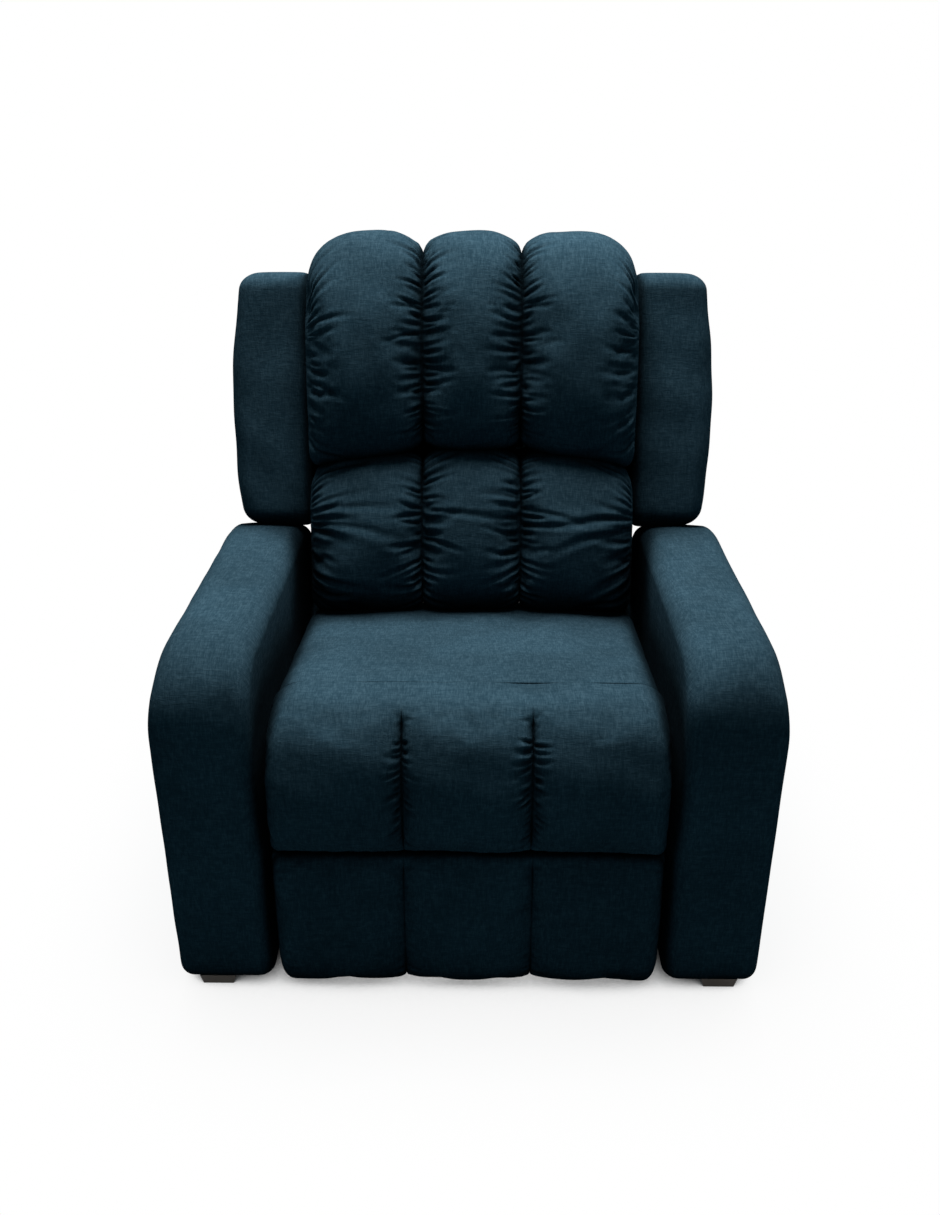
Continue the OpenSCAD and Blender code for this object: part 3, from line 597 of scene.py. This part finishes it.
class Cushion:
    """A stuffed form swept across the chair: an outline in side view, drawn in at its seams."""

    def __init__(self, node, outline, half, frame_at, centre_x=0.0):
        self.node = node
        self.rnd = np.random.default_rng(zlib.crc32(node.encode()))
        self.outline = outline
        self.half = half
        self.frame_at = frame_at
        self.centre_x = centre_x
        self.seams = None
        self.gathers = []
        self.lump = 0.0012

    def sampled(self, face_step, other_step, is_face):
        """Resamples the outline: one step on its face, another elsewhere."""
        self.outline = resampled(self.outline, lambda p: face_step if is_face(p) else other_step)
        self.normal = smoothed(outward(self.outline), 4)
        self.normal /= np.linalg.norm(self.normal, axis=1)[:, None]
        self.along = walked(self.outline)

    def gather_seams(self, **creases):
        """Creases on both sides of each seam between two channels."""
        for seam in self.seams[1:-1]:
            for side in (-1, 1):
                self.gathers.append(Gathers(seam, side, **creases))

    def gather_sides(self, **creases):
        """Creases that run inwards from both sides of the cushion."""
        for side in (-1, 1):
            edge = side * (self.half - SIDE_GATHER_INSET)
            self.gathers.append(Gathers(edge, -side, **creases))

    def build(self, stations, edge, seam_share, draw=0.0, roundness=2.3,
              corner=None, toe=None, arch=(0.0, 0.0), dome=None, hook=None, stuffing=None):
        """edge is the rounding of the sides, and seam_share the share of draw by which the seams
        pull in: both are functions of an outline point and its normal.

        roundness shapes the channels: the higher, the fuller.
        corner and toe are the (across, up) size of the rounding of the upper and the lower
        corners in front view.
        arch is how far the top and the bottom fall towards the sides.
        dome lifts the middle: a function of the outline point and normal.
        hook is (depth, height, reach): the part behind depth stays over that height.
        stuffing is the (pressure, growth) that the cloth settles under.
        """
        point, normal = self.outline, self.normal
        radius = np.array([edge(p, m) for p, m in zip(point, normal)])
        share = smoothed(np.array([seam_share(p, m) for p, m in zip(point, normal)]), 6)
        x = stations[:, None]
        from_side = np.maximum(self.half - np.abs(x), 0)
        t = np.clip((radius - from_side) / radius, 0, 1)
        inset = radius * (1 - np.sqrt(1 - t * t))
        seam_depth = 0.0 * x
        if self.seams is not None:
            seam_depth = draw * (1 - channel_crown(x, self.seams, roundness))
        lift = 0.0 * x
        if dome is not None:
            height = np.array([dome(p, m) for p, m in zip(point, normal)])
            lift = height * (1 - (x / self.half) ** 2)
        low, high = point[:, 1].min(), point[:, 1].max()
        share_up = np.clip(2 * (point[:, 1] - low) / (high - low) - 1, -1, 1)
        upper, lower = np.maximum(share_up, 0), np.maximum(-share_up, 0)
        fall = (x / self.half) ** 2
        drop = fall * (arch[0] * upper + arch[1] * lower)
        for rounding, part in ((corner, upper), (toe, -lower)):
            if rounding is not None:
                across, up = rounding
                t = np.clip((across - from_side) / across, 0, 1)
                drop = drop + up * (1 - np.sqrt(1 - t * t)) * part

        def rings_for(relief):
            push = -inset - seam_depth * share + relief + lift
            depth = point[:, 0] + normal[:, 0] * push
            height = point[:, 1] + normal[:, 1] * push - drop
            if hook is not None:
                over = (point[:, 0] <= hook[0]) & (point[:, 1] > hook[1]) & (np.abs(x) < hook[2])
                height = np.where(over, np.maximum(height, hook[1] + HOOK_CLEARANCE), height)
            return placed(self.centre_x + x, depth, height, self.frame_at)

        relief = self.relief(x, share)
        rings = rings_for(relief)
        if stuffing is not None:
            rings = rings + self.settled(rings_for(0.0), stations, share, stuffing)
        # Painted shade: how far the cloth's colour darkens in its seams and in the gathers'
        # creases.
        painted_crease_shade = np.clip(seam_depth * share / max(draw, 1e-6), 0, 1) ** 3
        painted_crease_shade = np.clip(painted_crease_shade - np.minimum(relief, 0) / FULL_CREASE * CREASE_SHADE, 0, 1)
        return skin(self.node + "_cover", rings, painted_crease_shade)

    def settled(self, rings, stations, share, stuffing):
        """How far the cloth moves from every point of the rings once it is stuffed.

        The simulation runs on every second ring and point. The cloth is cut a little too large
        and held at its seams, its sides and its back.
        """
        pressure, growth = stuffing
        around = rings.shape[1]
        coarse_at = np.arange(0, around, 2)
        coarse = rings[::2, coarse_at]
        x = stations[::2]
        at_seam = np.min([np.abs(x - seam) for seam in self.seams], axis=0) < 1e-4
        free = np.clip(share[coarse_at] * FREE_RISE, 0, 1)
        held = np.maximum(at_seam[:, None] * 1.0, 1 - free)
        moved = stuffed(self.node, coarse, held, pressure, growth)
        rows = np.arange(len(rings)) / 2
        columns = np.arange(around)
        full = np.zeros_like(rings)
        for k in range(3):
            wide = np.array([
                np.interp(columns, coarse_at, row, period=around) for row in moved[:, :, k]
            ])
            full[:, :, k] = np.array([
                np.interp(rows, np.arange(len(wide)), column) for column in wide.T
            ]).T
        full[1:-1] = (full[:-2] + 2 * full[1:-1] + full[2:]) / 4
        return (np.roll(full, 1, axis=1) + 2 * full + np.roll(full, -1, axis=1)) / 4

    def relief(self, x, share):
        """Lumps everywhere, and the gathers where the channels are sewn."""
        swell = lumps(self.rnd, x, self.along[None], self.lump)
        for gather in self.gathers:
            swell = swell + gather.relief(self.rnd, x, self.along[None]) * share
        return swell

    def place_on_face(self, height):
        """How far along the outline the face reaches this height."""
        front = np.where(self.normal[:, 0] > -0.2)[0]
        near = front[np.argmin(np.abs(self.outline[front, 1] - height))]
        return self.along[near]


def side_stations(half, radius, middle, edge):
    """Stations across a plain cushion, closer where its sides round over."""
    turn = np.linspace(0, np.pi / 2, edge + 1)
    rounding = half - radius * (1 - np.sin(turn))
    inner = np.linspace(-half + radius, half - radius, middle + 1)
    return np.unique(np.round([*-rounding, *inner, *rounding], 7))


def backed(face, w0, radius):
    """A face closed by a flat back at depth w0 with small rounded corners."""
    v0, v1 = face[0, 1], face[-1, 1]
    return np.vstack([
        face,
        arc((w0 + radius, v1 - radius), radius, 90, 180, 5),
        arc((w0 + radius, v0 + radius), radius, 180, 270, 5),
    ])


# ---------- back cushions ----------

BACK_HALF = 0.287
CUSHION_ARCH = 0.034
FRAME_TOP = 0.616  # height of the back frame up the lean


def on_front(p, m):
    """1 where channels are sewn: the face and the rolls above and below it."""
    return float(smoothstep(m[0], -0.75, -0.1))


def under_fade(m):
    """The channels flatten out on a cushion's underside."""
    return 1 - 0.8 * float(smoothstep(-m[1], 0.35, 0.9))


def back_edge(p, m):
    """Rounding of a back cushion's sides: full in front, slight behind and at its rolls."""
    rolled = 1 - 0.55 * float(smoothstep(abs(m[1]), 0.35, 0.95))
    return 0.016 + 0.026 * float(smoothstep(m[0], -0.6, 0.5)) * rolled


def head_cushion():
    """It stands in front of the back frame and hooks over its top."""
    frame_front = 0.062
    outline = np.vstack([
        stuffed_face((0.202, 0.3025), (0.279, 0.490), (0.182, 0.664), 2.8, 2.5),
        bowed((0.182, 0.664), (0.0363, 0.654), 0.001, 6),
        arc((0.0363, 0.632), 0.022, 90, 180, 6),
        [[0.0143, 0.627], [frame_front, 0.627], [frame_front, 0.470]],
        arc((0.082, 0.3225), 0.020, 180, 270, 5),
    ])
    cushion = Cushion("head_cushion", outline, BACK_HALF, LEANING)
    cushion.sampled(0.0026, 0.012, lambda p: p[0] > 0.10 or p[1] > 0.64)
    seam_at = 0.085
    cushion.seams = (-BACK_HALF, -seam_at, seam_at, BACK_HALF)
    span = cushion.place_on_face(0.325), cushion.place_on_face(0.664)
    cushion.gather_seams(
        span=span, count=28, length=0.052, depth=0.0040, width=0.0028, climb=(0.0, 0.12, 0.85)
    )
    cushion.gather_sides(
        span=span, count=25, length=0.070, depth=0.0044, width=0.0033, climb=(-0.45, 0.12, 1.1)
    )

    def sewn(p, m):
        """The channels fade out where the cushion rests on the one below."""
        return on_front(p, m) * (1 - 0.25 * float(smoothstep(-m[1], 0.6, 0.98)))

    obj = cushion.build(
        channel_stations(cushion.seams, 52), back_edge, sewn, draw=0.030, roundness=2.2,
        corner=(0.100, 0.084), arch=(0, CUSHION_ARCH), hook=(frame_front, FRAME_TOP, 0.270),
        stuffing=(3.0, 0.05),
    )
    upholster(obj, "head_cushion")


def lumbar_cushion():
    """It reaches down over the seat in front of the back's hinges."""
    outline = np.vstack([
        stuffed_face((0.216, 0.012), (0.271, 0.150), (0.198, 0.300), 3.0, 2.5),
        arc((0.076, 0.286), 0.014, 90, 180, 5),
        arc((0.076, 0.048), 0.014, 180, 270, 5),
        [[0.140, 0.034], [0.180, 0.016]],
    ])
    cushion = Cushion("lumbar_cushion", outline, BACK_HALF, LEANING)
    cushion.sampled(0.0026, 0.012, lambda p: p[0] > 0.13)
    seam_at = 0.087
    cushion.seams = (-BACK_HALF, -seam_at, seam_at, BACK_HALF)
    low, high = cushion.place_on_face(0.03), cushion.place_on_face(0.298)
    cushion.gather_seams(
        span=(low, high), count=19,
        length=0.062, depth=0.0042, width=0.0032, climb=(-0.30, 0.0, 0.35),
    )
    cushion.gather_sides(
        span=(low, high), count=19,
        length=0.085, depth=0.0050, width=0.0038, climb=(-0.45, 0.02, 0.55),
    )
    half_way = (low + high) / 2
    long_folds = {
        "span": (half_way - 0.02, half_way + 0.06), "count": 2,
        "length": 0.170, "depth": 0.0032, "width": 0.0036, "climb": (0.0, -0.06, 0.05),
    }
    for start, side in ((-BACK_HALF, 1), (BACK_HALF, -1), (-seam_at, 1), (seam_at, 1)):
        cushion.gathers.append(Gathers(start, side, **long_folds))
    obj = cushion.build(
        channel_stations(cushion.seams, 50), back_edge, on_front, draw=0.022, roundness=2.4,
        corner=(0.05, 0.012), arch=(CUSHION_ARCH, 0), stuffing=(3.0, 0.05),
    )
    upholster(obj, "lumbar_cushion")


# ---------- seat ----------

SEAT_HALF = 0.296
BOLSTER_HALF = 0.297
BOLSTER_BASE = 0.2660  # the leg arms pass close below
BOLSTER_TOP = 0.509


def seat_cushion():
    """Its top falls to the rear, and its front edge meets the bolster's top."""
    rear, base, front = -0.092, 0.344, 0.329
    joint = (0.3297, 0.5086)
    outline = np.vstack([
        arc((rear + 0.018, base + 0.018), 0.018, 180, 270, 6),
        arc((front - 0.014, base + 0.014), 0.014, 270, 360, 6),
        arc((joint[0] - 0.001, joint[1] - 0.001), 0.001, 0, 84, 3),
        [[0.290, 0.5050], [0.240, 0.4925], [0.180, 0.479], [0.090, 0.459], [0.0, 0.438]],
        arc((rear + 0.030, 0.424 - 0.030), 0.030, 100, 180, 8),
    ])
    cushion = Cushion("seat_cushion", outline, SEAT_HALF, UPRIGHT)
    cushion.sampled(0.0020, 0.014, lambda p: p[1] > 0.47)

    def edge(p, m):
        return 0.012 + 0.018 * float(smoothstep(m[1], -0.2, 0.7))

    def dome(p, m):
        behind = 1 - float(smoothstep(p[0], 0.20, 0.32))
        return 0.008 * float(smoothstep(m[1], 0.3, 0.95)) * behind

    stations = side_stations(SEAT_HALF, 0.03, 60, 8)
    obj = cushion.build(stations, edge, on_front, dome=dome, corner=(0.050, 0.046))
    upholster(obj, "seat_cushion")


def kept_above(obj, base, softness):
    """Lifts what hangs below the base, with a soft turn of that size above it."""
    for vertex in obj.data.vertices:
        above = vertex.co.z - base
        vertex.co.z = base + (above + math.hypot(above, softness)) / 2


def seat_bolster():
    """Its seams start below the edge where it meets the seat."""
    face = stuffed_face((0.408, BOLSTER_BASE), (0.457, 0.330), (0.366, BOLSTER_TOP), 2.0, 2.3)
    cushion = Cushion("seat_bolster", backed(face, 0.330, 0.001), BOLSTER_HALF, UPRIGHT)
    cushion.sampled(0.0026, 0.010, lambda p: p[0] > 0.345 or p[1] > 0.480)
    cushion.seams = (-BOLSTER_HALF, -0.096, 0.094, BOLSTER_HALF)
    cushion.gather_seams(
        span=(cushion.place_on_face(0.272), cushion.place_on_face(0.470)), count=18,
        length=0.030, depth=0.0050, width=0.0030, climb=(-0.50, -0.25, 0.05),
    )

    def edge(p, m):
        return 0.010 + 0.018 * float(smoothstep(m[0], -0.6, 0.5)) * under_fade(m)

    def sewn(p, m):
        below_joint = 1 - float(smoothstep(p[1], BOLSTER_TOP - 0.020, BOLSTER_TOP - 0.001))
        return on_front(p, m) * under_fade(m) * below_joint

    obj = cushion.build(
        channel_stations(cushion.seams, 46), edge, sewn, draw=0.017, roundness=3.0,
        corner=(0.050, 0.050), stuffing=(2.0, 0.025),
    )
    kept_above(obj, BOLSTER_BASE, 0.0012)
    upholster(obj, "seat_bolster")


# ---------- leg rest ----------

PAD_HALF = 0.299


def footrest_pad():
    face = stuffed_face((0.413, 0.015), (0.4465, 0.105), (0.412, 0.259), 3.2, 2.6)
    cushion = Cushion("footrest_pad", backed(face, 0.400, 0.006), PAD_HALF, UPRIGHT)
    cushion.sampled(0.0032, 0.010, lambda p: p[0] > 0.412)
    cushion.seams = (-PAD_HALF, -0.098, 0.098, PAD_HALF)
    span = cushion.place_on_face(0.02), cushion.place_on_face(0.250)
    cushion.gather_seams(
        span=span, count=18, length=0.022, depth=0.0027, width=0.0028, climb=(-0.3, 0.0, 0.3)
    )
    cushion.gather_sides(
        span=span, count=14, length=0.030, depth=0.0026, width=0.0034, climb=(-0.4, 0.0, 0.3)
    )

    def edge(p, m):
        return 0.008 + 0.014 * float(smoothstep(m[0], -0.6, 0.5))

    def sewn(p, m):
        """The top stays level under the seat's front."""
        return on_front(p, m) * (1 - 0.8 * float(smoothstep(m[1], 0.3, 0.9)))

    def crown(p, m):
        return 0.0015 * float(smoothstep(m[1], 0.4, 1.0))

    obj = cushion.build(
        channel_stations(cushion.seams, 44), edge, sewn, draw=0.011, roundness=2.6,
        toe=(0.026, 0.024), dome=crown, stuffing=(1.5, 0.015),
    )
    upholster(obj, "footrest_pad")


# ---------- arms ----------

ARM_WIDTH = 0.150
ARM_CROWN = 0.590
ARM_ROLL = 0.100
ARM_BASE = 0.016
ARM_FRONT = 0.440  # depths of the front and rear faces: depth is -y
ARM_REAR = -0.378
ARM_FOOT_ROUND = 0.014
ARM_SHOULDER = 0.355  # height at which the rear slope ends
ARM_OUTER_LEAN = 0.015  # how far the outer side leans in at its top


def arm_outline():
    """A rolled front, a crown that falls slightly and a steep slope behind it."""
    roll_depth, roll_height = ARM_FRONT - ARM_ROLL, ARM_CROWN - ARM_ROLL
    foot = ARM_BASE + ARM_FOOT_ROUND
    corners = np.vstack([
        arc((ARM_FRONT - ARM_FOOT_ROUND, foot), ARM_FOOT_ROUND, -90, 0, 5),
        bowed((ARM_FRONT, foot), (ARM_FRONT, roll_height), 0.0),
        arc((roll_depth, roll_height), ARM_ROLL, 0, 86),
        [[-0.150, 0.550], [-0.195, 0.537], [-0.250, 0.515], [-0.290, 0.479],
         [-0.330, 0.429], [-0.370, 0.379]],
        arc((ARM_REAR + 0.012, ARM_SHOULDER), 0.012, 150, 180, 3),
        arc((ARM_REAR + ARM_FOOT_ROUND, foot), ARM_FOOT_ROUND, 180, 270, 5),
    ])
    return smoothed(resampled(corners, lambda p: 0.004), 30)


def arm_pad(side):
    node = "arm_pad_left" if side < 0 else "arm_pad_right"
    centre_x = side * (cad_high.x - ARM_WIDTH / 2)
    cushion = Cushion(node, arm_outline(), ARM_WIDTH / 2, UPRIGHT, centre_x)
    cushion.sampled(0.007, 0.012, lambda p: p[0] > -0.30)
    cushion.lump = 0.0010

    def edge(p, m):
        top = float(smoothstep(m[1], 0.0, 0.8)) * float(smoothstep(p[0], -0.32, -0.05))
        ahead = float(smoothstep(m[0], 0.0, 0.8))
        return 0.014 + max(0.016 * top, 0.010 * ahead)

    def dome(p, m):
        return 0.004 * float(smoothstep(m[1], 0.2, 0.9))

    stations = side_stations(ARM_WIDTH / 2, 0.034, 18, 14)
    obj = cushion.build(stations, edge, lambda p, m: 0.0, dome=dome)
    for vertex in obj.data.vertices:
        outer = float(smoothstep(side * (vertex.co.x - centre_x), -0.02, 0.06))
        upper = float(smoothstep(vertex.co.z, 0.46, 0.60))
        vertex.co.x -= side * ARM_OUTER_LEAN * outer * upper
    upholster(obj, node)


# ---------- wings ----------

WING_BASE = 0.152  # height up the lean
WING_TALL = 0.454
WING_FOOT_ROUND = 0.034
WING_TOP_ROUND = 0.030
WING_INNER = BACK_HALF + 0.0035
WING_OUTER = 0.435
WING_DEEP = 0.166
WING_RING_POINTS = 96
WING_SEED = 7  # each side adds its own sign


def wing_outline(v):
    """The wing on the +X side cut level at the height v above its foot: across by depth."""
    low = max(0, WING_FOOT_ROUND - v)
    high = max(0, v - (WING_TALL - WING_TOP_ROUND))
    inset = WING_FOOT_ROUND - math.sqrt(WING_FOOT_ROUND**2 - low**2)
    inset += WING_TOP_ROUND - math.sqrt(max(WING_TOP_ROUND**2 - high**2, 0))
    bow = 0.016 * ((v - 0.215) / 0.231) ** 2 + 0.005 * float(smoothstep(v, 0.25, 0.45))
    inner, outer = WING_INNER + inset * 0.35, WING_OUTER - bow - inset
    rear, front = 0.002 + inset * 0.6, WING_DEEP - inset * 0.8
    return np.vstack([
        arc((inner + 0.012, rear + 0.012), 0.012, 180, 270, 5),
        arc((outer - 0.026, rear + 0.026), 0.026, 270, 360, 9),
        arc((outer - 0.034, front - 0.034), 0.034, 0, 90, 11),
        bowed((outer - 0.034, front), (inner + 0.018, front), 0.002, 6),
        arc((inner + 0.018, front - 0.018), 0.018, 90, 180, 7),
    ])


def wing(side):
    turn = np.linspace(0, np.pi / 2, 11)
    heights = np.concatenate([
        WING_FOOT_ROUND * (1 - np.cos(turn)),
        np.linspace(WING_FOOT_ROUND, WING_TALL - WING_TOP_ROUND, 46)[1:-1],
        WING_TALL - WING_TOP_ROUND * (1 - np.sin(turn)),
    ])
    rings = []
    for v in heights:
        outline = wing_outline(v)
        closed = np.vstack([outline, outline[:1]])
        walk = walked(closed)
        even = np.linspace(0, walk[-1], WING_RING_POINTS + 1)[:-1]
        points = np.column_stack([np.interp(even, walk, closed[:, k]) for k in (0, 1)])
        same_waves = np.random.default_rng(WING_SEED + side)
        swell = lumps(same_waves, np.full((1, len(even)), v), even[None], 0.0010)[0]
        points = points + outward(points) * swell[:, None]
        rings.append(placed(side * points[:, 0], points[:, 1], WING_BASE + v, LEANING))
    node = "wing_left" if side < 0 else "wing_right"
    upholster(skin(node + "_cover", np.array(rings)), node)


# ---------- covered boards ----------

BOARD_ROUND = 0.0055
BOARD_BULGE = 0.0025  # how far the wadding stands out behind


def covered_board(node, frame_at, half, heights, depths, corner=None, skirt=None):
    """A board in a thin wadded cover, drawn tight over its edges.

    heights are its bottom and top, depths its rear and front.
    skirt is the (height, extra half width) of a wider part below.
    """
    (bottom, top), (rear, front) = heights, depths
    low, high = bottom + BOARD_ROUND, top - BOARD_ROUND
    outline = np.vstack([
        arc((front - BOARD_ROUND, low), BOARD_ROUND, -90, 0, 5),
        arc((front - BOARD_ROUND, high), BOARD_ROUND, 0, 90, 5),
        arc((rear + BOARD_ROUND, high), BOARD_ROUND, 90, 180, 5),
        arc((rear + BOARD_ROUND, low), BOARD_ROUND, 180, 270, 5),
    ])
    cushion = Cushion(node, outline, half, frame_at)
    cushion.sampled(0.008, 0.0016, lambda p: bottom + 0.008 < p[1] < top - 0.008)
    cushion.lump = 0.0004
    middle, reach = (bottom + top) / 2, (top - bottom) / 2

    def dome(p, m):
        behind = float(smoothstep(-m[0], 0.6, 1.0))
        return BOARD_BULGE * behind * (1 - ((p[1] - middle) / reach) ** 2)

    stations = side_stations(half, BOARD_ROUND, 60, 5)
    obj = cushion.build(
        stations, lambda p, m: BOARD_ROUND, lambda p, m: 0.0, dome=dome, corner=corner
    )
    if skirt is not None:
        height, extra = skirt
        base = frame_at[1] + height * math.cos(frame_at[2])
        for vertex in obj.data.vertices:
            below = 1 - float(smoothstep(vertex.co.z, base - 0.012, base))
            vertex.co.x *= 1 + below * extra / half
    upholster(obj, node)


# ---------- push-button symbols ----------


def button_arrow(button, pointing):
    """A raised arrow on the button's face: up for lift, down for lower."""
    low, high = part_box(button)
    centre_y, centre_z = (low.y + high.y) / 2, (low.z + high.z) / 2
    half_wide, tall, sunk, proud = 0.0050, 0.0070, 0.0004, 0.0005
    bevel_from, bevelled = proud * 0.6, 0.86
    corners = np.array([[-half_wide, -tall / 2], [half_wide, -tall / 2], [0.0, tall / 2]])
    points = []
    for x, share in (
        (high.x - sunk, 1.0), (high.x + bevel_from, 1.0), (high.x + proud, bevelled)
    ):
        y = centre_y + corners[:, 0] * share
        z = centre_z + corners[:, 1] * share * pointing
        points.extend(zip([x] * 3, y, z))
    sides = [
        [low_ring + j, low_ring + (j + 1) % 3, low_ring + 3 + (j + 1) % 3, low_ring + 3 + j]
        for low_ring in (0, 3)
        for j in range(3)
    ]
    mesh = bpy.data.meshes.new(button + "_arrow")
    mesh.from_pydata(points, [], [*sides, [2, 1, 0], [6, 7, 8]])
    obj = bpy.data.objects.new(button + "_arrow", mesh)
    bpy.context.scene.collection.objects.link(obj)
    face_outward(obj)
    mesh.materials.append(FINISHES["black_plastic"])
    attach(obj, button)


# ---------- studio ----------

FLOOR_SIZE = 9.0
BACKDROP_WHITE = 1.0
SHADOW_REACH = 0.34  # how far from the chair the painted shadow on the floor reaches
AMBIENT = 0.030
COOL = (0.34, 0.84, 1.0)  # tint of the light that fills the shadows
FAINT_BLUE = (0.62, 0.90, 1.0)
NEAR_WHITE = (0.86, 0.96, 1.0)


def studio_floor():
    """Pale floor, white to the camera, with the chair's soft shadow partly real and partly painted.
    """
    mesh = bpy.data.meshes.new("floor")
    side = FLOOR_SIZE / 2
    mesh.from_pydata(
        [(-side, -side, 0), (side, -side, 0), (side, side, 0), (-side, side, 0)], [], [(0, 1, 2, 3)]
    )
    floor = bpy.data.objects.new("floor", mesh)
    bpy.context.scene.collection.objects.link(floor)
    n = Nodes("pale_floor")
    tree = n.tree
    tree.nodes.remove(n.shader)
    grain = n.stretched((5.0, 5.0, 5.0), detail=3.0)
    colour = n.mix(n.remap(grain, 0.3, 0.7), (0.10, 0.16, 0.18, 1), (0.12, 0.18, 0.20, 1), "RGBA")
    diffuse = n.add("BsdfDiffuse", {"Color": colour}).outputs[0]
    white = n.add("Emission", {"Color": (1, 1, 1, 1), "Strength": BACKDROP_WHITE}).outputs[0]
    path = n.add("LightPath")
    shown = n.math(
        "ADD", path.outputs["Is Camera Ray"], path.outputs["Is Transmission Ray"], clamp=True
    )
    shown = n.math("ADD", shown, path.outputs["Is Glossy Ray"], clamp=True)
    # Painted shadow: near and under the chair, occlusion swaps the white for the lamp-lit floor.
    occlusion_for_painted_shade = n.add("AmbientOcclusion", {"Distance": SHADOW_REACH}, samples=12).outputs["AO"]
    under = n.remap(occlusion_for_painted_shade, 0.10, 0.46)
    near = n.remap(occlusion_for_painted_shade, 0.40, 1.0, 0.90, 1.0)
    share = n.math("MULTIPLY", shown, n.math("MULTIPLY", under, near))
    mixed = n.add("MixShader", {0: share, 1: diffuse, 2: white}).outputs[0]
    tree.links.new(mixed, tree.nodes["Material Output"].inputs["Surface"])
    mesh.materials.append(n.material)


def studio_world():
    """A little cool light from all sides; the camera sees plain white."""
    world = bpy.data.worlds.new("studio")
    bpy.context.scene.world = world
    world.use_nodes = True
    tree = world.node_tree
    light = tree.nodes["Background"]
    light.inputs["Color"].default_value = (*COOL, 1)
    light.inputs["Strength"].default_value = AMBIENT
    shown = tree.nodes.new("ShaderNodeBackground")
    shown.inputs["Color"].default_value = (1, 1, 1, 1)
    shown.inputs["Strength"].default_value = BACKDROP_WHITE
    path = tree.nodes.new("ShaderNodeLightPath")
    seen = tree.nodes.new("ShaderNodeMath")
    seen.operation = "ADD"
    seen.use_clamp = True
    tree.links.new(path.outputs["Is Camera Ray"], seen.inputs[0])
    tree.links.new(path.outputs["Is Transmission Ray"], seen.inputs[1])
    mixed = tree.nodes.new("ShaderNodeMixShader")
    tree.links.new(seen.outputs[0], mixed.inputs[0])
    tree.links.new(light.outputs[0], mixed.inputs[1])
    tree.links.new(shown.outputs[0], mixed.inputs[2])
    tree.links.new(mixed.outputs[0], tree.nodes["World Output"].inputs["Surface"])


def soft_light(name, place, target, size, power, colour=(1.0, 1.0, 1.0)):
    """A round lamp aimed at the target; power is in watts."""
    data = bpy.data.lights.new(name, "AREA")
    data.color = colour
    data.shape = "DISK"
    data.size = size
    data.energy = power
    lamp = bpy.data.objects.new(name, data)
    bpy.context.scene.collection.objects.link(lamp)
    lamp.location = place
    aim = np.array(target, float) - np.array(place, float)
    aim /= np.linalg.norm(aim)
    right = np.cross(aim, (0, 0, 1))
    right /= np.linalg.norm(right)
    up = np.cross(right, aim)
    turn = Matrix((right, up, -aim)).transposed()
    lamp.rotation_euler = turn.to_euler()


def studio():
    """The top light models the chair; the others only fill its front, sides and rear."""
    bpy.context.scene.view_settings.view_transform = "Standard"
    studio_floor()
    studio_world()
    soft_light("top_light", (0, 0.55, 3.4), (0, 0, 0.5), size=1.7, power=190)
    soft_light(
        "front_light", (-0.4, -2.8, 3.2), (0, -0.2, 0.5), size=2.0, power=12, colour=FAINT_BLUE
    )
    soft_light("side_light", (2.8, -1.2, 2.2), (0, 0, 0.6), size=1.6, power=1.4, colour=COOL)
    soft_light("back_light", (0.3, 2.6, 2.8), (0, 0.1, 0.8), size=1.6, power=3.4)
    for side in (-1, 1):
        place = (side * 2.4, 2.6, 0.8)
        soft_light("low_light", place, (0, 0, 0.5), size=1.4, power=26, colour=NEAR_WHITE)


# ---------- the chair ----------

finish_cad_nodes()
head_cushion()
lumbar_cushion()
seat_cushion()
seat_bolster()
footrest_pad()
for hand in (-1, 1):
    arm_pad(hand)
    wing(hand)
covered_board(
    "outside_back", LEANING, half=0.2895, heights=(0.0, 0.6389), depths=(0.0, 0.014),
    corner=(0.08, 0.08), skirt=(0.150, 0.013),
)
covered_board("rear_panel", UPRIGHT, half=0.309, heights=(0.060, 0.345), depths=(-0.320, -0.300))
button_arrow("button_up", 1)
button_arrow("button_down", -1)
studio()
